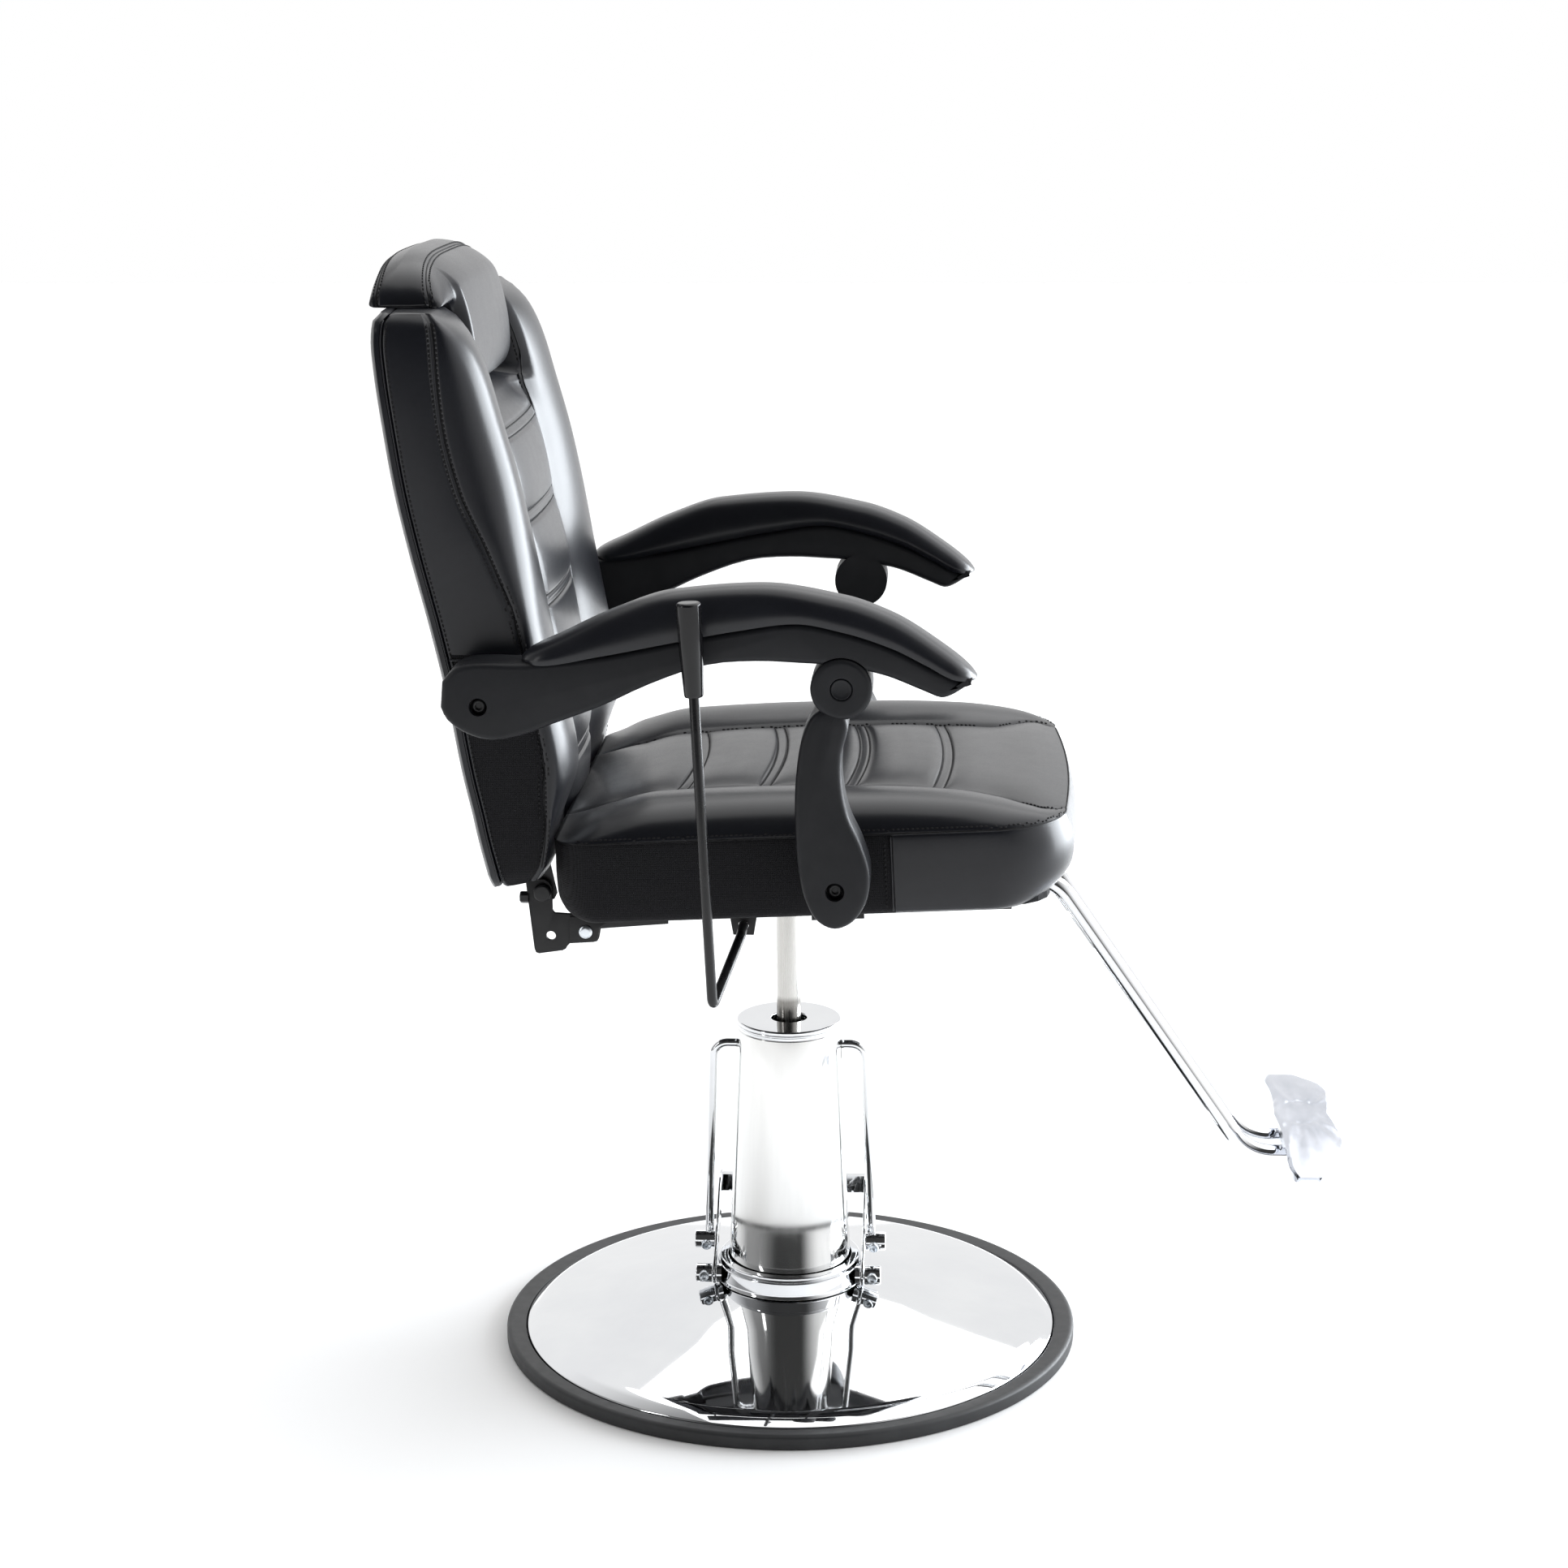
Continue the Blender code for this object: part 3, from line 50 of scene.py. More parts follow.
# ================================================================ materials
class Nodes:
    """Short hand for building a node material."""

    def __init__(self, name):
        self.mat = bpy.data.materials.new(name)
        self.mat.use_nodes = True
        self.tree = self.mat.node_tree
        self.bsdf = self.tree.nodes["Principled BSDF"]
        self.coord = self.tree.nodes.new("ShaderNodeTexCoord")

    def node(self, kind, **props):
        n = self.tree.nodes.new(kind)
        for k, v in props.items():
            setattr(n, k, v)
        return n

    def wire(self, a, b):
        self.tree.links.new(a, b)

    def mapped(self, scale, rot=(0, 0, 0)):
        m = self.node("ShaderNodeMapping")
        m.inputs["Scale"].default_value = scale
        m.inputs["Rotation"].default_value = rot
        self.wire(self.coord.outputs["Object"], m.inputs["Vector"])
        return m.outputs["Vector"]

    def noise(self, scale, detail=3.0, rough=0.5, vec=None):
        n = self.node("ShaderNodeTexNoise")
        n.inputs["Scale"].default_value = scale
        n.inputs["Detail"].default_value = detail
        n.inputs["Roughness"].default_value = rough
        self.wire(vec if vec is not None else self.coord.outputs["Object"], n.inputs["Vector"])
        return n.outputs["Fac"]

    def ramp(self, fac, stops):
        r = self.node("ShaderNodeValToRGB")
        e = r.color_ramp.elements
        while len(e) < len(stops):
            e.new(0.5)
        for el, (pos, col) in zip(e, stops):
            el.position = pos
            el.color = (*col, 1.0) if len(col) == 3 else col
        self.wire(fac, r.inputs["Fac"])
        return r.outputs["Color"]

    def range(self, fac, lo, hi, a=0.0, b=1.0):
        m = self.node("ShaderNodeMapRange")
        m.inputs["From Min"].default_value = a
        m.inputs["From Max"].default_value = b
        m.inputs["To Min"].default_value = lo
        m.inputs["To Max"].default_value = hi
        self.wire(fac, m.inputs["Value"])
        return m.outputs["Result"]

    def math(self, op, a, b=None):
        m = self.node("ShaderNodeMath", operation=op)
        for i, v in enumerate((a, b)):
            if v is None:
                continue
            if isinstance(v, (int, float)):
                m.inputs[i].default_value = v
            else:
                self.wire(v, m.inputs[i])
        return m.outputs["Value"]

    def bump(self, height, strength, distance):
        b = self.node("ShaderNodeBump")
        b.inputs["Strength"].default_value = strength
        b.inputs["Distance"].default_value = distance
        self.wire(height, b.inputs["Height"])
        self.wire(b.outputs["Normal"], self.bsdf.inputs["Normal"])

    def set(self, **v):
        for k, x in v.items():
            self.bsdf.inputs[k.replace("_", " ")].default_value = x
        return self


def leather(name, lo=(0.0062, 0.0068, 0.0098), hi=(0.0105, 0.0115, 0.0152), rough=(0.30, 0.40)):
    n = Nodes(name)
    big = n.noise(7.0, 4.0, 0.6)
    n.wire(n.ramp(big, [(0.3, lo), (0.7, hi)]), n.bsdf.inputs["Base Color"])
    cell = n.node("ShaderNodeTexVoronoi", feature="DISTANCE_TO_EDGE")
    cell.inputs["Scale"].default_value = 620.0
    cell.inputs["Randomness"].default_value = 1.0
    n.wire(n.coord.outputs["Object"], cell.inputs["Vector"])
    fine = n.noise(1400.0, 2.0, 0.6)
    pores = n.range(cell.outputs["Distance"], 0.0, 1.0, 0.0, 0.25)
    soft = n.noise(55.0, 3.0, 0.55)
    h = n.math("ADD", n.math("MULTIPLY", pores, 0.7), n.math("MULTIPLY", fine, 0.3))
    h = n.math("ADD", h, n.math("MULTIPLY", soft, 0.9))
    n.bump(h, 0.14, 0.00020)
    mix = n.math("ADD", n.math("MULTIPLY", n.noise(38.0, 4.0, 0.6), 0.6),
                 n.math("MULTIPLY", pores, 0.4))
    n.wire(n.range(mix, rough[1], rough[0], 0.25, 0.85), n.bsdf.inputs["Roughness"])
    n.set(Specular_IOR_Level=0.14, Coat_Weight=0.55, Coat_Roughness=0.27, Coat_IOR=1.5)
    return n.mat


def mesh_fabric(name):
    n = Nodes(name)
    x = n.node("ShaderNodeSeparateXYZ")
    n.wire(n.coord.outputs["Object"], x.inputs["Vector"])
    s = n.math("ADD", x.outputs["X"], x.outputs["Y"])
    k = 2 * math.pi / 0.0036
    a = n.math("SINE", n.math("MULTIPLY", n.math("ADD", s, x.outputs["Z"]), k))
    b = n.math("SINE", n.math("MULTIPLY", n.math("SUBTRACT", s, x.outputs["Z"]), k))
    w = n.math("MULTIPLY", a, b)
    thread = n.range(w, 0.0, 1.0, -0.15, 0.75)
    # painted shade: the weave's openings, where the bump below is lowest, get the darkest tone (0.003 against 0.010)
    # for the shade inside the holes
    n.wire(n.ramp(thread, [(0.0, (0.010, 0.010, 0.012)), (0.55, (0.006, 0.006, 0.007)),
                           (1.0, (0.003, 0.003, 0.003))]), n.bsdf.inputs["Base Color"])
    n.wire(n.range(n.noise(300.0, 3.0), 0.62, 0.85), n.bsdf.inputs["Roughness"])
    n.bump(n.math("SUBTRACT", 1.0, thread), 0.6, 0.0006)
    n.set(Sheen_Weight=0.04, Sheen_Roughness=0.4, Specular_IOR_Level=0.18)
    return n.mat


def plastic(name, col=(0.0112, 0.0118, 0.0140), rough=(0.36, 0.50), grain=1100.0, strength=0.22, spec=0.24):
    n = Nodes(name)
    n.set(Specular_IOR_Level=spec)
    n.wire(n.ramp(n.noise(14.0, 4.0), [(0.3, tuple(c * 0.85 for c in col)),
                                       (0.7, tuple(c * 1.15 for c in col))]),
           n.bsdf.inputs["Base Color"])
    n.wire(n.range(n.noise(60.0, 3.0), *rough, 0.3, 0.7), n.bsdf.inputs["Roughness"])
    n.bump(n.noise(grain, 2.0, 0.7), strength, 0.0002)
    return n.mat


def metal(name, lo, hi, rough, stretch=(30, 30, 30), bump=0.0):
    n = Nodes(name)
    vec = n.mapped(stretch)
    fac = n.noise(1.0, 4.0, 0.6, vec)
    n.wire(n.ramp(fac, [(0.3, lo), (0.7, hi)]), n.bsdf.inputs["Base Color"])
    n.wire(n.range(fac, rough[0], rough[1], 0.3, 0.7), n.bsdf.inputs["Roughness"])
    if bump:
        n.bump(fac, bump, 0.0001)
    n.set(Metallic=1.0)
    return n.mat


def ram_steel(name, z_band_top, z_fade):
    n = Nodes(name)
    vec = n.mapped((900, 900, 22))
    streak = n.noise(1.0, 3.0, 0.6, vec)
    xyz = n.node("ShaderNodeSeparateXYZ")
    n.wire(n.coord.outputs["Object"], xyz.inputs["Vector"])
    z = n.math("ADD", xyz.outputs["Z"], n.math("MULTIPLY", n.noise(60.0, 3.0), 0.004))
    # base colour darker below the first height and lighter above the second, a sharp band low on the rod
    lower_band = n.range(z, 1.0, 0.0, z_band_top, z_fade)
    mix = n.node("ShaderNodeMix", data_type="RGBA")
    n.wire(lower_band, mix.inputs[0])
    n.wire(n.ramp(streak, [(0.3, (0.52, 0.51, 0.49)), (0.7, (0.66, 0.65, 0.63))]), mix.inputs[6])
    n.wire(n.ramp(streak, [(0.3, (0.20, 0.19, 0.18)), (0.7, (0.34, 0.33, 0.31))]), mix.inputs[7])
    n.wire(mix.outputs[2], n.bsdf.inputs["Base Color"])
    n.wire(n.range(streak, 0.16, 0.34, 0.3, 0.7), n.bsdf.inputs["Roughness"])
    n.set(Metallic=1.0)
    return n.mat


def wood(name):
    n = Nodes(name)
    fac = n.noise(1.0, 5.0, 0.6, n.mapped((6, 60, 60)))
    n.wire(n.ramp(fac, [(0.3, (0.30, 0.20, 0.11)), (0.7, (0.56, 0.42, 0.26))]),
           n.bsdf.inputs["Base Color"])
    n.wire(n.range(fac, 0.6, 0.8), n.bsdf.inputs["Roughness"])
    n.bump(fac, 0.2, 0.0003)
    return n.mat


def rubber(name):
    n = Nodes(name)
    n.wire(n.ramp(n.noise(20.0, 4.0), [(0.3, (0.014, 0.0145, 0.016)), (0.7, (0.024, 0.025, 0.027))]),
           n.bsdf.inputs["Base Color"])
    n.wire(n.range(n.noise(90.0, 3.0), 0.42, 0.60), n.bsdf.inputs["Roughness"])
    n.bump(n.noise(700.0, 2.0), 0.15, 0.0002)
    return n.mat


LEATHER = leather("pu_leather_black")
MESH = mesh_fabric("spacer_mesh_black")
ARMPLASTIC = plastic("arm_plastic_charcoal")
GRIP = plastic("grip_gloss_black", (0.005, 0.005, 0.006), (0.07, 0.14), 300.0, 0.03, 0.42)
ROD = plastic("rod_satin_black", (0.008, 0.008, 0.009), (0.24, 0.34), 500.0, 0.06, 0.45)
BLACKSTEEL = plastic("painted_steel_black", (0.009, 0.009, 0.010), (0.30, 0.45), 420.0, 0.12, 0.35)
CHROME = metal("chrome_mirror", (0.76, 0.77, 0.79), (0.82, 0.83, 0.84), (0.02, 0.05), (9, 9, 9))
CASING = metal("chrome_casing", (0.80, 0.80, 0.79), (0.88, 0.88, 0.87), (0.07, 0.12), (60, 60, 3))
RAM = ram_steel("ram_ground_steel", 0.366, 0.372)
STEEL = metal("machined_steel", (0.50, 0.50, 0.49), (0.66, 0.65, 0.64), (0.22, 0.36), (60, 60, 300), 0.1)
ZINC = metal("zinc_plate", (0.62, 0.68, 0.74), (0.80, 0.83, 0.86), (0.22, 0.34), (80, 80, 80), 0.1)
CAST = metal("cast_aluminium_polished", (0.54, 0.57, 0.64), (0.68, 0.70, 0.76), (0.14, 0.28), (40, 14, 40), 0.05)
RUBBER = rubber("rubber_satin_black")
PLY = wood("plywood_raw")
# black thread for the stitches; the same matte black also paints the shade in the seam grooves as the seam cords
THREAD_AND_SEAM_SHADE = plastic("thread_and_seam_shade_black", (0.006, 0.006, 0.007), (0.5, 0.65), 2200.0, 0.2)

SLOTMAT = {"chrome": CHROME, "casing_chrome": CASING, "steel": STEEL, "zinc": ZINC,
           "black_steel": BLACKSTEEL, "trim_rubber": RUBBER, "arm_plastic": ARMPLASTIC,
           "grip_plastic": GRIP, "pu_leather": LEATHER, "cast_aluminium": CAST, "plywood": PLY}
for sp in frame["record"]["subparts"]:
    ob = frame["nodes"][sp["node"]]
    m = SLOTMAT[sp["material_slot"]]
    if not ob.material_slots:
        ob.data.materials.append(m)
    for s in ob.material_slots:
        s.material = m
for name, m in (("ram", RAM), ("lever_rod", ROD), ("seat_board", MESH)):
    for s in frame["nodes"][name].material_slots:
        s.material = m


# ================================================================== helpers
def add(name, verts, faces, mats, body, replaces=(), angle=None, face_mats=None):
    me = bpy.data.meshes.new(name)
    me.from_pydata([tuple(v) for v in verts], [], faces)
    me.validate()
    if not isinstance(mats, (list, tuple)):
        mats = [mats]
    for m in mats:
        me.materials.append(m)
    if face_mats is not None:
        me.polygons.foreach_set("material_index", face_mats)
    me.shade_smooth()
    if angle is not None:
        me.set_sharp_from_angle(angle=math.radians(angle))
    ob = bpy.data.objects.new(name, me)
    scene.collection.objects.link(ob)
    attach(ob, body)
    for r in replaces:
        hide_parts(r)
    return ob


def shell(rings, cap0=True, cap1=True):
    """Closed rings to vertices and faces, facing out when rings turn left going up."""
    n = len(rings[0])
    verts = [p for r in rings for p in r]
    faces = []
    for k in range(len(rings) - 1):
        a, b = k * n, (k + 1) * n
        for i in range(n):
            j = (i + 1) % n
            faces.append((a + i, a + j, b + j, b + i))
    if cap0:
        faces.append(tuple(range(n))[::-1])
    if cap1:
        faces.append(tuple(range((len(rings) - 1) * n, len(rings) * n)))
    return verts, faces


def outward(ob):
    bm = bmesh.new()
    bm.from_mesh(ob.data)
    bmesh.ops.recalc_face_normals(bm, faces=bm.faces)
    bm.to_mesh(ob.data)
    bm.free()
    return ob


def axis_matrix(centre, axis):
    if axis == "X":
        rot = Matrix(((0, 0, 1), (1, 0, 0), (0, 1, 0))).to_4x4()
    elif axis == "Y":
        rot = Matrix(((0, 1, 0), (0, 0, 1), (1, 0, 0))).to_4x4()
    elif axis == "Z":
        rot = Matrix.Identity(4)
    else:
        rot = Vector((0, 0, 1)).rotation_difference(Vector(axis)).to_matrix().to_4x4()
    return Matrix.Translation(centre) @ rot


def rounded(profile, r, n=4, closed=True):
    """Round every corner of a (radius, height) profile; r is one size or one per corner."""
    out = []
    m = len(profile)
    for i, p in enumerate(profile):
        rr = r[i] if isinstance(r, (list, tuple)) else r
        if rr <= 0 or (not closed and i in (0, m - 1)):
            out.append(p)
            continue
        p = Vector(p)
        a, b = Vector(profile[i - 1]), Vector(profile[(i + 1) % m])
        u, v = (a - p), (b - p)
        lu, lv = u.length, v.length
        u.normalize(); v.normalize()
        d = min(rr, lu * 0.45, lv * 0.45)
        for k in range(n + 1):
            t = k / n
            q = (p + u * d) * (1 - t) ** 2 + p * 2 * t * (1 - t) + (p + v * d) * t * t
            out.append((q.x, q.y))
    return out


def lathe(name, profile, mat, body, centre=(0, 0, 0), axis="Z", steps=96, replaces=(),
          angle=40, flip=1.0):
    """Closed (radius, height) outline spun about an axis; radius 0 ends stay on the axis."""
    m = axis_matrix(centre, axis)
    verts, faces, rows = [], [], []
    for r, z in profile:
        z *= flip
        if r < 1e-7:
            rows.append([len(verts)])
            verts.append(m @ Vector((0, 0, z)))
        else:
            rows.append(list(range(len(verts), len(verts) + steps)))
            for i in range(steps):
                a = 2 * math.pi * i / steps
                verts.append(m @ Vector((r * math.cos(a), r * math.sin(a), z)))
    pairs = list(zip(rows, rows[1:] + rows[:1]))
    for a, b in pairs:
        if len(a) == 1 and len(b) == 1:
            continue
        for i in range(steps):
            j = (i + 1) % steps
            if len(a) == 1:
                faces.append((a[0], b[j], b[i]))
            elif len(b) == 1:
                faces.append((a[i], a[j], b[0]))
            else:
                faces.append((a[i], a[j], b[j], b[i]))
    ob = add(name, verts, faces, mat, body, replaces, angle)
    return outward(ob)


def catmull(keys, n=6, closed=False):
    k = list(keys)
    m = len(k)
    out = []
    for i in range(m if closed else m - 1):
        if closed:
            p0, p1, p2, p3 = (np.array(k[(i + d) % m], float) for d in (-1, 0, 1, 2))
        else:
            p1, p2 = np.array(k[i], float), np.array(k[i + 1], float)
            p0 = np.array(k[i - 1], float) if i > 0 else 2 * p1 - p2
            p3 = np.array(k[i + 2], float) if i + 2 < m else 2 * p2 - p1
        # centripetal form keeps the curve from looping at uneven spacing
        t1 = max(np.linalg.norm(p1 - p0), 1e-9) ** 0.5
        t2 = t1 + max(np.linalg.norm(p2 - p1), 1e-9) ** 0.5
        t3 = t2 + max(np.linalg.norm(p3 - p2), 1e-9) ** 0.5
        for j in range(n):
            t = t1 + (t2 - t1) * j / n
            a1 = (t1 - t) / t1 * p0 + t / t1 * p1
            a2 = (t2 - t) / (t2 - t1) * p1 + (t - t1) / (t2 - t1) * p2
            a3 = (t3 - t) / (t3 - t2) * p2 + (t - t2) / (t3 - t2) * p3
            b1 = (t2 - t) / t2 * a1 + t / t2 * a2
            b2 = (t3 - t) / (t3 - t1) * a2 + (t - t1) / (t3 - t1) * a3
            out.append(tuple((t2 - t) / (t2 - t1) * b1 + (t - t1) / (t2 - t1) * b2))
    if not closed:
        out.append(tuple(k[-1]))
    return out


def table(rows, t):
    """Smooth value of a table (t, value...) by cubic Hermite steps."""
    m = len(rows)
    if t <= rows[0][0]:
        return tuple(rows[0][1:])
    if t >= rows[-1][0]:
        return tuple(rows[-1][1:])
    i = max(j for j in range(m - 1) if rows[j][0] <= t)
    a, b = rows[i], rows[i + 1]
    h = b[0] - a[0]
    f = (t - a[0]) / h

    def slope(j, c):
        if j == 0 or j == m - 1:
            return 0.0 if m < 3 else ((rows[1][c] - rows[0][c]) / (rows[1][0] - rows[0][0]) if j == 0 else
                                      (rows[-1][c] - rows[-2][c]) / (rows[-1][0] - rows[-2][0]))
        d0 = (rows[j][c] - rows[j - 1][c]) / (rows[j][0] - rows[j - 1][0])
        d1 = (rows[j + 1][c] - rows[j][c]) / (rows[j + 1][0] - rows[j][0])
        return 0.0 if d0 * d1 <= 0 else 2 * d0 * d1 / (d0 + d1)
    out = []
    for c in range(1, len(a)):
        m0, m1 = slope(i, c) * h, slope(i + 1, c) * h
        out.append((2 * f ** 3 - 3 * f * f + 1) * a[c] + (f ** 3 - 2 * f * f + f) * m0
                   + (-2 * f ** 3 + 3 * f * f) * b[c] + (f ** 3 - f * f) * m1)
    return tuple(out)


def smooth(a, b, t):
    t = min(1.0, max(0.0, (t - a) / (b - a)))
    return t * t * (3 - 2 * t)


def bent_path(keys, radii, n=10):
    pts = [Vector(k) for k in keys]
    out = [pts[0]]
    for i in range(1, len(pts) - 1):
        a, b, c = pts[i - 1], pts[i], pts[i + 1]
        u, v = (a - b).normalized(), (c - b).normalized()
        half = u.angle(v) / 2
        d = radii[i - 1] / math.tan(half)
        mid = b + (u + v).normalized() * (radii[i - 1] / math.sin(half))
        s, e = b + u * d - mid, b + v * d - mid
        turn = s.angle(e)
        ax = s.cross(e).normalized()
        for j in range(n + 1):
            out.append(mid + Matrix.Rotation(turn * j / n, 3, ax) @ s)
    out.append(pts[-1])
    return out


def tube(name, pts, r, mat, body, replaces=(), sides=32, ends=0.25):
    """Round bar along points, with softly rounded ends."""
    P = [Vector(p) for p in pts]
    T = []
    for i in range(len(P)):
        a, b = P[max(i - 1, 0)], P[min(i + 1, len(P) - 1)]
        T.append((b - a).normalized())
    up = Vector((0, 0, 1)) if abs(T[0].z) < 0.9 else Vector((0, 1, 0))
    N = (up - T[0] * up.dot(T[0])).normalized()
    rings = []

    def ring(c, t, nrm, rad):
        bi = t.cross(nrm)
        return [c + (nrm * math.cos(2 * math.pi * k / sides) + bi * math.sin(2 * math.pi * k / sides)) * rad
                for k in range(sides)]
    radii = r if isinstance(r, (list, tuple)) else [r] * len(P)
    e = ends * radii[0]
    rings.append(ring(P[0], T[0], N, radii[0] - e))
    rings.append(ring(P[0] + T[0] * e * 0.3, T[0], N, radii[0] - e * 0.3))
    for i in range(len(P)):
        N = (N - T[i] * N.dot(T[i])).normalized()
        c = P[i]
        if i == 0:
            c = c + T[i] * e
        elif i == len(P) - 1:
            c = c - T[i] * e
        rings.append(ring(c, T[i], N, radii[i]))
    rings.append(ring(P[-1] - T[-1] * e * 0.3, T[-1], N, radii[-1] - e * 0.3))
    rings.append(ring(P[-1], T[-1], N, radii[-1] - e))
    v, f = shell(rings)
    return outward(add(name, v, f, mat, body, replaces, 40))


def offset_loop(loop, d):
    """Loop moved inward by d along its own normals (loop turns left)."""
    n = len(loop)
    P = np.array(loop, float)
    T = np.roll(P, -1, 0) - np.roll(P, 1, 0)
    T /= np.linalg.norm(T, axis=1)[:, None]
    N = np.stack([-T[:, 1], T[:, 0]], 1)
    return P + N * d


def area2(loop):
    return sum(a[0] * b[1] - b[0] * a[1] for a, b in zip(loop, loop[1:] + loop[:1]))


def pillow(name, loop, y0, y1, r, mat, body, replaces=(), n=5, crown=0.0, plane="XZ",
           frame_m=None, angle=50):
    """Flat outline with a round over of radius r on both rims."""
    loop = list(loop)
    if area2(loop) < 0:
        loop = loop[::-1]
    rings = []
    steps = [(0.5 * math.pi * k / n) for k in range(n + 1)]
    if crown:
        rings.append((r + 0.006, y0 - crown))
    for a in steps:
        rings.append((r * (1 - math.sin(a)), y0 + r * (1 - math.cos(a))))
    for a in reversed(steps):
        rings.append((r * (1 - math.sin(a)), y1 - r * (1 - math.cos(a))))
    if crown:
        rings.append((r + 0.006, y1 + crown))
    out = []
    for d, y in rings:
        pts = offset_loop(loop, d)
        if plane == "XZ":
            ring = [Vector((p[0], y, p[1])) for p in pts]
        elif plane == "YZ":
            ring = [Vector((y, p[0], p[1])) for p in pts]
        else:
            ring = [Vector((p[0], p[1], y)) for p in pts]
        if frame_m is not None:
            ring = [frame_m @ p for p in ring]
        out.append(ring)
    v, f = shell(out)
    return outward(add(name, v, f, mat, body, replaces, angle))


def cyl_mesh(r, a, b, steps=48, name="cutter"):
    a, b = Vector(a), Vector(b)
    bm = bmesh.new()
    bmesh.ops.create_cone(bm, cap_ends=True, segments=steps, radius1=r, radius2=r, depth=(b - a).length)
    rot = (b - a).to_track_quat("Z", "Y").to_matrix().to_4x4()
    bmesh.ops.transform(bm, matrix=Matrix.Translation((a + b) / 2) @ rot, verts=bm.verts)
    me = bpy.data.meshes.new(name)
    bm.to_mesh(me)
    bm.free()
    ob = bpy.data.objects.new(name, me)
    scene.collection.objects.link(ob)
    return ob


def box_mesh(lo, hi, name="cutter"):
    bm = bmesh.new()
    bmesh.ops.create_cube(bm, size=1.0)
    lo, hi = Vector(lo), Vector(hi)
    bmesh.ops.transform(bm, matrix=Matrix.Translation((lo + hi) / 2) @ Matrix.Diagonal((*(hi - lo), 1.0)),
                        verts=bm.verts)
    me = bpy.data.meshes.new(name)
    bm.to_mesh(me)
    bm.free()
    ob = bpy.data.objects.new(name, me)
    scene.collection.objects.link(ob)
    return ob


def carve(ob, cutters, op="DIFFERENCE", angle=40):
    for c in cutters:
        md = ob.modifiers.new("b", "BOOLEAN")
        md.operation = op
        md.solver = "EXACT"
        md.object = c
    bpy.context.view_layer.update()
    me = bpy.data.meshes.new_from_object(ob.evaluated_get(bpy.context.evaluated_depsgraph_get()))
    ob.modifiers.clear()
    old = ob.data
    ob.data = me
    bpy.data.meshes.remove(old)
    for c in cutters:
        bpy.data.objects.remove(c, do_unlink=True)
    me.shade_smooth()
    me.set_sharp_from_angle(angle=math.radians(angle))
    return ob


def dense(curve, step=0.001):
    """Points along a polyline at an even step."""
    P = [Vector(p) for p in curve]
    out = []
    carry = 0.0
    for a, b in zip(P, P[1:]):
        L = (b - a).length
        if L < 1e-9:
            continue
        d = carry
        while d < L:
            out.append(a.lerp(b, d / L))
            d += step
        carry = d - L
    return out


def groove(ob, curves, depth, width):
    """Press soft lines into a surface along its normals."""
    pts = [p for c in curves for p in dense(c, 0.0012)]
    kd = KDTree(len(pts))
    for i, p in enumerate(pts):
        kd.insert(p, i)
    kd.balance()
    me = ob.data
    move = []
    for v in me.vertices:
        d = kd.find(v.co)[2]
        if d < width * 3:
            move.append((v.index, depth * math.exp(-(d / width) ** 2)))
    nor = [me.vertices[i].normal.copy() for i, _ in move]
    for (i, d), n in zip(move, nor):
        me.vertices[i].co -= n * d


def stitches(name, ob, curves, body, offset=0.0, pitch=0.0046, length=0.0033, r=0.00080,
             lift=0.00018, mat=None):
    """Thread dashes laid on a surface beside lines; one piece."""
    bvh = BVHTree.FromObject(ob, bpy.context.evaluated_depsgraph_get())
    verts, faces = [], []
    for c in curves:
        line = dense(c, pitch)
        for i in range(1, len(line) - 1):
            t = (line[i + 1] - line[i - 1]).normalized()
            hit = bvh.find_nearest(line[i])
            if hit[0] is None:
                continue
            nrm = hit[1]
            side = nrm.cross(t).normalized()
            q = bvh.find_nearest(hit[0] + side * offset)
            p, nrm = q[0], q[1]
            t = (t - nrm * t.dot(nrm)).normalized()
            side = nrm.cross(t)
            p = p + nrm * lift
            base = len(verts)
            for dx, rr in ((-0.5, 0.45), (-0.36, 0.95), (0.0, 1.0), (0.36, 0.95), (0.5, 0.45)):
                for cs, sn in ((1, 0), (0.5, 0.8), (-0.5, 0.8), (-1, 0), (0, -0.9)):
                    drop = 0.6 * r if abs(dx) > 0.4 else 0.0
                    verts.append(p + t * dx * length + side * cs * r * rr + nrm * (sn * r * rr - drop))
            for k in range(4):
                for j in range(5):
                    a, b = base + k * 5 + j, base + k * 5 + (j + 1) % 5
                    faces.append((a, b, b + 5, a + 5))
            faces.append(tuple(base + j for j in range(5))[::-1])
            faces.append(tuple(base + 20 + j for j in range(5)))
    return add(name, verts, faces, mat or THREAD_AND_SEAM_SHADE, body, (), 60)


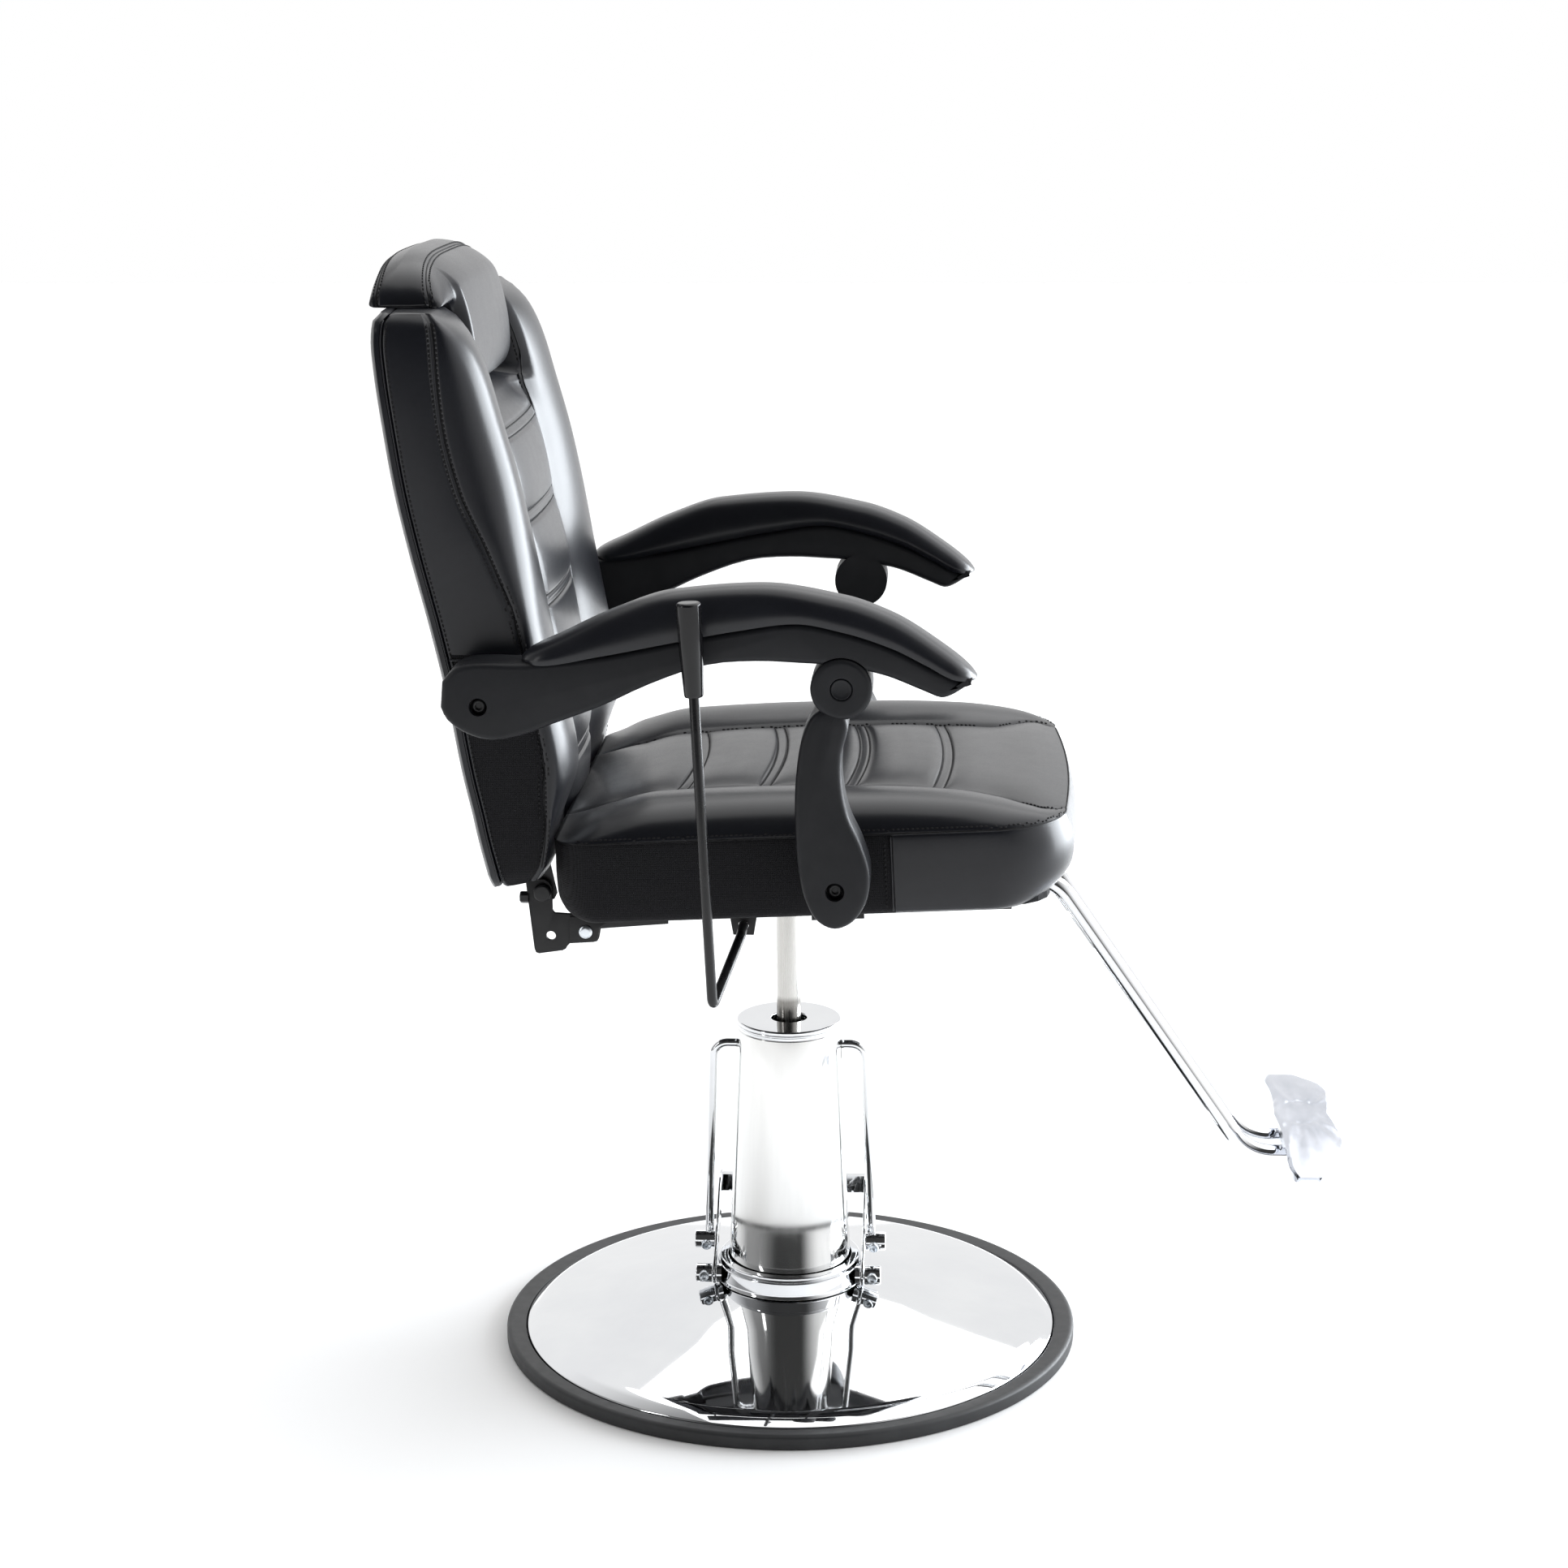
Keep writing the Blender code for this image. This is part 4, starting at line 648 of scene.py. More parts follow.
def seam_shade_cord(name, ob, curves, body, r=0.00075, lift=0.0):
    """Painted shade: the dark line where two panels meet, drawn as a fine matte black cord lying in the groove in place
    of its shade.
    """
    bvh = BVHTree.FromObject(ob, bpy.context.evaluated_depsgraph_get())
    verts, faces = [], []
    for c in curves:
        line = dense(c, 0.0030)
        pts = []
        for p in line:
            q = bvh.find_nearest(p)
            if q[0] is not None and (q[0] - p).length < 0.02:
                pts.append((q[0] + q[1] * lift, q[1]))
        for _ in range(2):
            pts = [pts[0]] + [((pts[i - 1][0] + pts[i][0] * 2 + pts[i + 1][0]) / 4, pts[i][1])
                              for i in range(1, len(pts) - 1)] + [pts[-1]]
        base = len(verts)
        for i, (p, nrm) in enumerate(pts):
            t = (pts[min(i + 1, len(pts) - 1)][0] - pts[max(i - 1, 0)][0]).normalized()
            side = nrm.cross(t).normalized()
            up = t.cross(side)
            for k in range(6):
                a = 2 * math.pi * k / 6
                verts.append(p + side * r * math.cos(a) + up * r * math.sin(a))
        for i in range(len(pts) - 1):
            for k in range(6):
                a, b = base + i * 6 + k, base + i * 6 + (k + 1) % 6
                faces.append((a, b, b + 6, a + 6))
        faces.append(tuple(base + k for k in range(6))[::-1])
        e = base + (len(pts) - 1) * 6
        faces.append(tuple(e + k for k in range(6)))
    return add(name, verts, faces, THREAD_AND_SEAM_SHADE, body, (), 60)


def join_faces(verts, faces, name, mat, body, slot, replaces=(), angle=40):
    return add(name, verts, faces, mat, body, replaces, angle)


# ===================================================================== base
RING_R = 0.300
lathe("base_trim", rounded([(0.2812, 0.0136), (0.2965, 0.0152), (RING_R, 0.0130), (RING_R, 0.0012),
                            (0.2985, 0.0), (0.2796, 0.0), (0.2796, 0.0126)],
                           [0.001, 0.003, 0.003, 0.001, 0.001, 0.0005, 0.001]),
      RUBBER, "base", steps=192, replaces=("base_trim_ring",))
lathe("base_dish_skin",
      rounded([(0.0785, 0.0603), (0.150, 0.0452), (0.265, 0.0228), (0.2785, 0.0136), (0.2785, 0.0036),
               (0.2770, 0.0036), (0.2770, 0.0126), (0.2642, 0.0212), (0.150, 0.0436), (0.0785, 0.0587)],
              [0.0004, 0.02, 0.006, 0.0015, 0.0002, 0.0002, 0.001, 0.005, 0.02, 0.0004], 6),
      CHROME, "base", steps=256, replaces=("base_dish",), angle=60)
lathe("foot_collar",
      rounded([(0.0726, 0.0842), (0.0737, 0.0834), (0.0737, 0.0793), (0.0731, 0.0790), (0.0731, 0.0786),
               (0.0753, 0.0783), (0.0757, 0.0776), (0.0757, 0.0640), (0.0775, 0.0612), (0.0652, 0.0612),
               (0.0652, 0.0842)],
              [0.0008, 0.0006, 0.0002, 0.0001, 0.0001, 0.0006, 0.0006, 0.002, 0.0004, 0.0002, 0.0004]),
      CHROME, "base", steps=192, replaces=("column_foot_collar",), angle=50)
for sx, tag in ((1, "front"), (-1, "rear")):
    lathe("collar_lug_" + tag, rounded([(0.0, 0.0758), (0.0098, 0.0758), (0.0098, 0.0700), (0.0, 0.0700)],
                                       [0, 0.001, 0, 0]), CHROME, "base",
          centre=(0, -0.030, 0.0715), axis=(sx, 0, 0), steps=48)
CZ0, CZ1 = 0.0620, 0.3350
R0, R1 = 0.0646, 0.0535
casing = lathe("casing_shell", rounded([(R1 - 0.0010, CZ1), (R1, CZ1 - 0.0008), (R0, CZ0),
                                        (R0 - 0.0012, CZ0), (R1 - 0.0012, CZ1)], 0.0003, 2),
               CASING, "base", steps=160, replaces=("column_casing",), angle=30)
sl = []
for s in (1, -1):
    c = box_mesh((0.03 if s > 0 else -0.08, -0.0058, 0.3045), (0.08 if s > 0 else -0.03, 0.0058, 0.3190))
    sl.append(c)
    sl.append(cyl_mesh(0.0058, (s * 0.03, 0, 0.3045), (s * 0.08, 0, 0.3045), 24))
    sl.append(cyl_mesh(0.0058, (s * 0.03, 0, 0.3190), (s * 0.08, 0, 0.3190), 24))
carve(casing, sl, angle=30)
lathe("cap_skin",
      rounded([(0.0527, 0.3447), (0.0539, 0.3437), (0.0539, 0.3412), (0.0534, 0.3408), (0.0534, 0.3403),
               (0.0540, 0.3399), (0.0540, 0.3384), (0.0530, 0.3378), (0.0530, 0.3352), (0.0505, 0.3352),
               (0.0505, 0.3300), (0.0185, 0.3300), (0.0185, 0.3440), (0.0192, 0.3447)],
              [0.0010, 0.0008, 0.0003, 0.0002, 0.0002, 0.0003, 0.0005, 0.0002, 0.0002, 0.0002, 0.0002, 0.0002,
               0.0006, 0.0006]),
      CHROME, "base", steps=192, replaces=("column_cap",), angle=50)
lathe("ram_rod", rounded([(0.0, 0.505), (0.0125, 0.505), (0.0125, 0.178), (0.0, 0.178)], [0, 0.001, 0.001, 0]),
      RAM, "ram", steps=96, replaces=("ram",))

# ------------------------------------------------------- pedal and link rods
TRUN_Y, TRUN_Z = 0.012, 0.0929
for sx, tag in ((1, "front"), (-1, "rear")):
    path = bent_path([(sx * 0.0862, TRUN_Y, TRUN_Z + 0.0010), (sx * 0.0785, 0.0, 0.316),
                      (sx * 0.0492, 0.0, 0.316)], [0.015], 14)
    tube("lift_rod_" + tag, path, 0.0045, CHROME, "links", ("link_rod_" + tag,))
    lathe("rod_block_" + tag,
          rounded([(0.0, 0.1012), (0.0090, 0.1012), (0.0100, 0.1004), (0.0100, 0.0800), (0.0045, 0.0800),
                   (0.0045, 0.0764), (0.0, 0.0764)], [0, 0.0006, 0.0006, 0.0006, 0, 0, 0]),
          CHROME, "links", centre=(0, TRUN_Y, TRUN_Z), axis=(sx, 0, 0), steps=64,
          replaces=("rod_end_" + tag,))
    lathe("pin_head_" + tag,
          rounded([(0.0, 0.0972), (0.0088, 0.0972), (0.0098, 0.0962), (0.0098, 0.0800), (0.0045, 0.0800),
                   (0.0045, 0.0715), (0.0, 0.0715)], [0, 0.0008, 0.0008, 0.0006, 0, 0, 0]),
          CHROME, "base", centre=(0, -0.030, 0.0715), axis=(sx, 0, 0), steps=64,
          replaces=("pedal_pin_" + tag,))
    for nm, y, z, x, body in (("pin_set_screw_", -0.0398, 0.0722, 0.0880, "base"),
                              ("rod_set_screw_", TRUN_Y - 0.0095, TRUN_Z - 0.0030, 0.0885, "links")):
        d = Vector((0, -1, 0.0)) if body == "base" else Vector((0, -0.95, -0.31)).normalized()
        lathe(nm + tag, rounded([(0.0022, 0.0026), (0.0048, 0.0034), (0.0054, 0.0024), (0.0054, -0.002),
                                 (0.0, -0.002), (0.0, 0.0012), (0.0022, 0.0012)],
                                [0.0002, 0.0008, 0.0008, 0, 0, 0, 0.0002]),
              ZINC, body, centre=(sx * x, y, z), axis=tuple(d), steps=32,
              replaces=(("rod_screw_" + tag,) if body == "links" else ()))

fork_keys = [(-0.0300, 0.0600), (-0.0130, 0.0690), (0.0200, 0.0800), (0.0560, 0.1080), (0.0880, 0.1130),
             (0.1000, 0.1180), (0.0960, 0.1380), (0.0620, 0.1460), (0.0250, 0.1190), (-0.0050, 0.0980),
             (-0.0340, 0.0830), (-0.0415, 0.0710)]
loop = catmull(fork_keys, 6, True)
for s in (1, -1):
    lo, hi = sorted((s * 0.0764, s * 0.0792))
    pillow("fork_side_" + ("front" if s > 0 else "rear"), loop, lo, hi, 0.0008, CHROME, "pedal",
           ("pedal_fork",) if s > 0 else (), 3, plane="YZ")
bar = pillow("fork_bar", [(0.0862, 0.1185), (0.0955, 0.1185), (0.0955, 0.1372), (0.0862, 0.1372)],
             -0.0785, 0.0785, 0.0010, CHROME, "pedal", (), 3, plane="YZ")
arm_keys = [(0.0900, 0.1205), (0.1700, 0.1150), (0.2480, 0.1015), (0.3020, 0.0980), (0.3045, 0.1030),
            (0.2980, 0.1072), (0.2520, 0.1074), (0.2400, 0.1112), (0.1700, 0.1290), (0.0900, 0.1350)]
pillow("fork_arm", catmull(arm_keys, 5, True), -0.011, 0.011, 0.0018, CHROME, "pedal", (), 4,
       plane="YZ")
pad_plan = []
for cx, cy, a0 in ((0.036, 0.308, 0), (-0.036, 0.308, 90), (-0.036, 0.258, 180), (0.036, 0.258, 270)):
    for j in range(7):
        a = math.radians(a0 + 15 * j)
        pad_plan.append((cx + 0.008 * math.cos(a), cy + 0.008 * math.sin(a)))
pillow("pedal_pad_rubber", pad_plan, 0.1082, 0.1250, 0.0045, RUBBER, "pedal", ("pedal_pad",),
       5, plane="XY")
for i in range(7):
    y = 0.2590 + 0.008 * i
    tube("pedal_rib_%d" % i, [(-0.034, y, 0.1250), (0.034, y, 0.1250)], 0.0012, RUBBER, "pedal",
         (), 12)

# ================================================================= footrest
for s, side in ((-1, "right"), (1, "left")):
    path = bent_path([(0.094, s * 0.025, 0.5045), (0.2714, s * 0.025, 0.5045),
                      (0.4737, s * 0.025, 0.2115), (0.5320, s * 0.025, 0.2115)], [0.045, 0.050], 16)
    tube("foot_tube_" + side, path, 0.0095, CHROME, "seat", ("footrest_tube_" + side,), 40, 0.15)


def foot_plate():
    rows = []
    ny, nx = 96, 22
    for i in range(ny + 1):
        y = -0.156 + 0.312 * i / ny
        u = abs(y) / 0.156
        e = max(0.0, (u - 0.72) / 0.28)
        x0 = 0.5035 + 0.0035 * math.sin(math.pi * min(1.0, u * 1.05)) + 0.0085 * e ** 2.4
        x1 = 0.5600 + 0.0075 * math.sin(math.pi * min(1.0, u * 1.35) * 0.62) - 0.0330 * max(0, (u - 0.45) / 0.55) ** 2.1
        top = 0.2482 - 0.0110 * u * u
        edge = 0.0095 * min(1.0, ((1 - u) / 0.05) ** 0.5 + 0.25) if u > 0.95 else 0.0095
        ring = []
        for k in range(nx + 1):
            f = k / nx
            x = x0 + (x1 - x0) * f
            side = min(f, 1 - f) * (x1 - x0)
            drop = 0.0026 * max(0.0, 1 - side / 0.0035) ** 2 + 0.0022 * max(0.0, 1 - (1 - u) * 0.156 / 0.005) ** 2
            ang = math.atan2(x - 0.5310, abs(y) + 0.010)
            rib = 0.0015 * (0.5 + 0.5 * math.cos(ang * 26.0)) * smooth(0.12, 0.26, u) * smooth(1.0, 0.90, u) \
                * smooth(0.0, 0.006, side)
            oval = ((x - 0.5305) / 0.019) ** 2 + (y / 0.034) ** 2
            rim = -0.0008 * math.exp(-((oval - 1.0) / 0.16) ** 2)
            ring.append(Vector((x, y, top - drop + rib + rim)))
        low = top - edge
        for k in range(nx, -1, -1):
            f = k / nx
            x = x0 + (x1 - x0) * f
            side = min(f, 1 - f) * (x1 - x0)
            up = 0.0045 * smooth(0.002, 0.006, side) * smooth(1.0, 0.96, u)
            inset = 0.0006 if k in (0, nx) else 0
            ring.append(Vector((x + (inset if k == 0 else -inset), y, low + up)))
        rows.append(ring)
    return rows


v, f = shell(foot_plate())
plate = outward(add("foot_plate", v, f, CAST, "seat", ("footrest_plate",), 38))
boss = pillow("foot_plate_boss", [(0.5090, -0.0355), (0.5440, -0.0355), (0.5440, 0.0355), (0.5090, 0.0355)],
              0.2212, 0.2440, 0.003, CAST, "seat", (), 4, plane="XY")
for s in (-1, 1):
    lathe("foot_screw_%s" % ("a" if s < 0 else "b"),
          rounded([(0.0, 0.0030), (0.0045, 0.0030), (0.0055, 0.0018), (0.0055, 0.0), (0.0, 0.0)],
                  [0, 0.001, 0.0006, 0, 0]), ZINC, "seat",
          centre=(0.5265, s * 0.025, 0.2022), axis=(0, 0, -1), steps=32)

# ==================================================================== lever
LEVER_Y = -0.335
top = Vector((-0.0705, LEVER_Y, 0.8420))
knee = Vector((-0.0524, LEVER_Y, 0.4620))
down = (knee - top).normalized()
path = bent_path([top + down * 0.0700, knee, (-0.034, -0.2150, 0.4955), (-0.034, -0.0950, 0.4955)],
                 [0.007, 0.020], 12)
tube("lever_bar", path, 0.0048, ROD, "lever", ("lever_rod",), 32)
lathe("lever_handle",
      rounded([(0.0, 0.0), (0.0096, 0.0), (0.0116, 0.0018), (0.0113, 0.040), (0.0104, 0.056),
               (0.0088, 0.0855), (0.0078, 0.0870), (0.0052, 0.0870), (0.0052, 0.0680), (0.0, 0.0680)],
              [0, 0.0010, 0.0016, 0.01, 0.01, 0.0010, 0.0006, 0, 0, 0], 5),
      GRIP, "lever", centre=top, axis=tuple(down), steps=64, replaces=("lever_grip",))

# ===================================================================== arms
ARM_REAR, ARM_PIVOT, SUP_BOLT = (-0.267, 0.739), (0.066, 0.758), (0.060, 0.567)
FRAME_TOP = [(-0.3000, 0.7620), (-0.2900, 0.7735), (-0.2780, 0.7785), (-0.2570, 0.7800), (-0.2400, 0.7795),
             (-0.2230, 0.7795), (-0.1530, 0.7870), (-0.0900, 0.7995), (-0.0300, 0.8110), (0.0250, 0.8180),
             (0.0690, 0.8100), (0.1130, 0.7955), (0.1420, 0.7810), (0.1740, 0.7655)]
FRAME_LOW = [(0.1850, 0.7690), (0.1830, 0.7645), (0.1760, 0.7590), (0.1660, 0.7530), (0.1570, 0.7505),
             (0.1420, 0.7560), (0.1130, 0.7680), (0.0980, 0.7725), (0.0660, 0.7790), (0.0280, 0.7815),
             (-0.0120, 0.7830), (-0.0570, 0.7790), (-0.1090, 0.7610), (-0.1540, 0.7400),
             (-0.1990, 0.7230), (-0.2270, 0.7125), (-0.2540, 0.7075), (-0.2760, 0.7125),
             (-0.2960, 0.7260), (-0.3045, 0.7450)]
PADSEAM = [(-0.2230, 0.7790), (-0.2120, 0.7780), (-0.1530, 0.7873), (-0.0900, 0.7998), (-0.0300, 0.8113), (0.0250, 0.8183),
           (0.0690, 0.8103), (0.1130, 0.7958), (0.1420, 0.7813), (0.1720, 0.7668), (0.1870, 0.7655)]
PADTOP = [(-0.2290, 0.7830), (-0.2210, 0.7900), (-0.1930, 0.8035), (-0.1420, 0.8275), (-0.0870, 0.8452),
          (-0.0060, 0.8512), (0.0680, 0.8400), (0.1120, 0.8245), (0.1570, 0.7965), (0.1830, 0.7755),
          (0.1895, 0.7680)]


def arm_pad(name, s, body, node):
    n_st, n_sec = 130, 40
    x0, x1 = -0.2285, 0.1895
    seam = sorted(PADSEAM)
    topl = sorted(PADTOP)
    rings = []
    mid = s * 0.2878
    seam_pts = {1: [], -1: []}
    for i in range(n_st + 1):
        f = i / n_st
        f = 0.5 - 0.5 * math.cos(math.pi * f)
        x = x0 + (x1 - x0) * f
        zt, zb = table(topl, x)[0], table(seam, x)[0] + 0.0004
        zt = max(zt, zb + 0.0006)
        d0, d1 = (x - x0), (x1 - x)
        w = 0.0288
        re, rf = 0.030, 0.022
        if d0 < re:
            w *= max(0.05, math.sqrt(max(0.0, 1 - ((re - d0) / re) ** 2.3)))
        if d1 < rf:
            w *= max(0.05, math.sqrt(max(0.0, 1 - ((rf - d1) / rf) ** 2.3)))
        hgt = zt - zb
        ring = []
        for k in range(n_sec):
            a = math.pi * k / (n_sec - 1)
            c, sn = math.cos(a), math.sin(a)
            yy = w * math.copysign(abs(c) ** 0.62, c)
            zz = hgt * (sn ** 0.78)
            # belly: widest a little above the seam
            belly = 1.0 + 0.020 * math.exp(-((zz / max(hgt, 1e-5) - 0.28) / 0.22) ** 2)
            pinch = 1.0 - 0.045 * math.exp(-(zz / 0.0022) ** 2)
            ring.append(Vector((x, mid + s * 0 + yy * belly * pinch, zb + zz)))
        seam_pts[1].append(ring[0].copy())
        seam_pts[-1].append(ring[-1].copy())
        for k in range(1, 6):
            t = k / 6
            y = ring[n_sec - 1].y + (ring[0].y - ring[n_sec - 1].y) * t
            ring.append(Vector((x, y, zb)))
        rings.append(ring)
    v, f = shell(rings)
    ob = outward(add(name, v, f, LEATHER, body, (node,), 55))
    return ob


for s, side in ((-1, "right"), (1, "left")):
    body = "arm_" + side
    arm_pad("arm_cushion_" + side, s, body, "arm_pad_" + side)
    lo, hi = sorted((s * 0.2630, s * 0.3125))
    loop = catmull(FRAME_TOP, 3)[:-1] + catmull([FRAME_TOP[-1]] + FRAME_LOW, 3)[:-1]
    fr = pillow("arm_shell_" + side, loop, lo, hi, 0.0055, ARMPLASTIC, body,
                ("arm_frame_" + side,), 5, angle=45)
    lo, hi = sorted((s * 0.2630, s * 0.2875))
    ear = cyl_mesh(0.0283, (ARM_PIVOT[0], lo, ARM_PIVOT[1]), (ARM_PIVOT[0], hi, ARM_PIVOT[1]), 64)
    carve(fr, [ear], "UNION", 45)
    lo, hi = sorted((s * 0.2879, s * 0.330))
    cutters = [cyl_mesh(0.0294, (ARM_PIVOT[0], lo, ARM_PIVOT[1]), (ARM_PIVOT[0], hi, ARM_PIVOT[1]), 96)]
    lo, hi = sorted((s * 0.3020, s * 0.330))
    cutters.append(cyl_mesh(0.0084, (ARM_REAR[0], lo, ARM_REAR[1]), (ARM_REAR[0], hi, ARM_REAR[1]), 48))
    carve(fr, cutters, "DIFFERENCE", 45)
    for nm, (bx, bz), bd in (("arm_bolt_", ARM_REAR, "back"), ("support_bolt_", SUP_BOLT, "seat")):
        lathe("socket_" + nm + side,
              rounded([(0.0, 0.3048), (0.0031, 0.3048), (0.0031, 0.3072), (0.0050, 0.3076), (0.0068, 0.3062),
                       (0.0072, 0.3048), (0.0072, 0.3024), (0.0040, 0.3024), (0.0040, 0.2300), (0.0, 0.2300)],
                      [0, 0, 0.0004, 0.001, 0.0008, 0.0004, 0, 0, 0, 0], 3),
              BLACKSTEEL, bd, centre=(bx, 0, bz), axis=(0, s, 0), steps=36,
              replaces=(nm + side,))
    # front support
    keys = [(0.0400, 0.7330), (0.0300, 0.7120), (0.0240, 0.6720), (0.0232, 0.6320),
            (0.0255, 0.5920), (0.0320, 0.5590), (0.0440, 0.5375), (0.0600, 0.5305),
            (0.0765, 0.5375), (0.0890, 0.5570), (0.0925, 0.5830), (0.0850, 0.6100),
            (0.0725, 0.6380), (0.0665, 0.6680), (0.0665, 0.6970), (0.0720, 0.7250),
            (0.0640, 0.7380), (0.0520, 0.7400)]
    lo, hi = sorted((s * 0.2640, s * 0.3128))
    sup = pillow("arm_post_" + side, catmull(keys, 5, True), lo, hi, 0.0060, ARMPLASTIC, "support_" + side,
                 ("arm_support_" + side,), 5, crown=0.0012, angle=45)
    lo, hi = sorted((s * 0.2500, s * 0.2884))
    carve(sup, [cyl_mesh(0.0296, (ARM_PIVOT[0], lo, ARM_PIVOT[1]), (ARM_PIVOT[0], hi, ARM_PIVOT[1]), 96)],
          "DIFFERENCE", 45)
    disc = lathe("arm_post_disc_" + side,
                 rounded([(0.0, 0.3118), (0.0098, 0.3118), (0.0108, 0.3140), (0.0250, 0.3140), (0.0285, 0.3112),
                          (0.0285, 0.2884), (0.0, 0.2884)], [0, 0.0006, 0.0006, 0.0030, 0.0030, 0.0004, 0], 5),
                 ARMPLASTIC, "support_" + side, centre=(ARM_PIVOT[0], 0, ARM_PIVOT[1]),
                 axis=(0, s, 0), steps=96)
    lo, hi = sorted((s * 0.3020, s * 0.330))
    carve(sup, [cyl_mesh(0.0088, (SUP_BOLT[0], lo, SUP_BOLT[1]), (SUP_BOLT[0], hi, SUP_BOLT[1]), 48)],
          "DIFFERENCE", 45)
    lathe("pivot_cover_" + side,
          rounded([(0.0, 0.3120), (0.0070, 0.3128), (0.0092, 0.3136), (0.0097, 0.3124), (0.0097, 0.2900),
                   (0.0, 0.2900)], [0, 0.001, 0.0008, 0.0006, 0, 0]),
          ARMPLASTIC, "support_" + side, centre=(ARM_PIVOT[0], 0, ARM_PIVOT[1]),
          axis=(0, s, 0), steps=48, replaces=("arm_pivot_pin_" + side,))

# ============================================================= seat cushion
TILT = math.radians(2.7)
SF = Matrix.Translation((0, 0, 0.5235)) @ Matrix.Rotation(-TILT, 4, "Y")
SX0, SX1, SW = -0.2085, 0.2810, 0.2520
RF, RR = 0.074, 0.040


def plan_half_width(x):
    if x > SX1 - RF:
        return SW - RF + math.sqrt(max(0.0, RF * RF - (x - (SX1 - RF)) ** 2))
    if x < SX0 + RR:
        return SW - RR + math.sqrt(max(0.0, RR * RR - (SX0 + RR - x) ** 2))
    return SW


def seam_y(x):
    y = table([(-0.21, 0.128), (-0.10, 0.131), (0.0, 0.135), (0.10, 0.140), (0.17, 0.146), (0.215, 0.158),
               (0.240, 0.178), (0.258, 0.190), (0.2810, 0.176)], x)[0]
    return min(y, plan_half_width(x) - 0.003)


CRESTH = [(-0.2085, 0.0800), (-0.190, 0.0860), (-0.160, 0.0985), (-0.108, 0.1095), (-0.02, 0.1112),
          (0.10, 0.1085), (0.18, 0.1025), (0.242, 0.0905), (0.268, 0.0845), (0.289, 0.0800)]
CHAN = (-0.0930, -0.0115, 0.0730, 0.1575)
HE = 0.0785


def bow(x, y):
    """How far the sewn lines of the panel bow forward in the middle."""
    s = seam_y(x)
    f = max(0.0, 1 - (y / s) ** 2)
    b = 0.010 * smooth(-0.20, -0.12, x) * smooth(0.26, 0.20, x)
    b += 0.0075 * smooth(0.19, 0.281, x)
    return b * f


def seat_height(x, y, v):
    s, w = seam_y(x), plan_half_width(x)
    hc = table(CRESTH, x)[0]
    drop = 0.0105 * smooth(0.281, 0.20, x) * smooth(-0.2085, -0.15, x) + 0.001
    hs = max(hc - drop, HE + 0.0005)
    ay = abs(y)
    if ay <= s:
        puff = 0.0
        f = (1 - (ay / s) ** 6)
        lines = [-0.2085] + list(CHAN) + [0.2810]
        for a, b in zip(lines, lines[1:]):
            if a <= x <= b:
                t = (x - a) / (b - a)
                puff = 0.0062 * (4 * t * (1 - t)) ** 0.55
        puff *= f
        crease = 0.0
        for cx, amp in ((-0.052, 0.0006), (0.030, 0.0008), (0.047, 0.0006), (0.112, 0.0007), (0.132, 0.0006)):
            crease += amp * math.exp(-((x - cx) / 0.006) ** 2) * math.exp(-((ay - 0.03) / 0.07) ** 2)
        seam = 0.0022 * math.exp(-((s - ay) / 0.0035) ** 2)
        h = hs + puff - crease - seam
    else:
        u = (ay - s) / max(w - s, 1e-4)
        uc = 0.52
        if u < uc:
            h = hs + (hc - hs) * (1 - (1 - u / uc) ** 2.1)
            h -= 0.0022 * math.exp(-((ay - s) / 0.0035) ** 2)
        else:
            t = (u - uc) / (1 - uc)
            h = HE + (hc - HE) * (1 - t ** 2.5) ** 0.68
    # front and rear roll
    if x > 0.217:
        t = min(1.0, (x - 0.217) / 0.064)
        h = HE + (h - HE) * max(0.0, 1 - t ** 2.6) ** 0.60
    if x < -0.172:
        t = min(1.0, (-0.172 - x) / 0.0365)
        h = HE + (h - HE) * max(0.0, 1 - t ** 2.4) ** 0.60
    return h


def clustered(lo, hi, step, centres, offs):
    pts = list(np.arange(lo, hi, step)) + [hi]
    keep = [p for p in pts if all(abs(p - c) > max(offs) + step * 0.3 for c in centres)
            or p in (pts[0], pts[-1])]
    for c in centres:
        for o in offs:
            for sgn in (-1, 1):
                q = c + sgn * o
                if lo < q < hi:
                    keep.append(q)
    out = []
    for p in sorted(keep):
        if not out or p - out[-1] > 1e-5:
            out.append(p)
    return out


DBL = 0.0050
OFFS = (0.0, 0.0009, 0.0018, 0.0030, 0.0045)


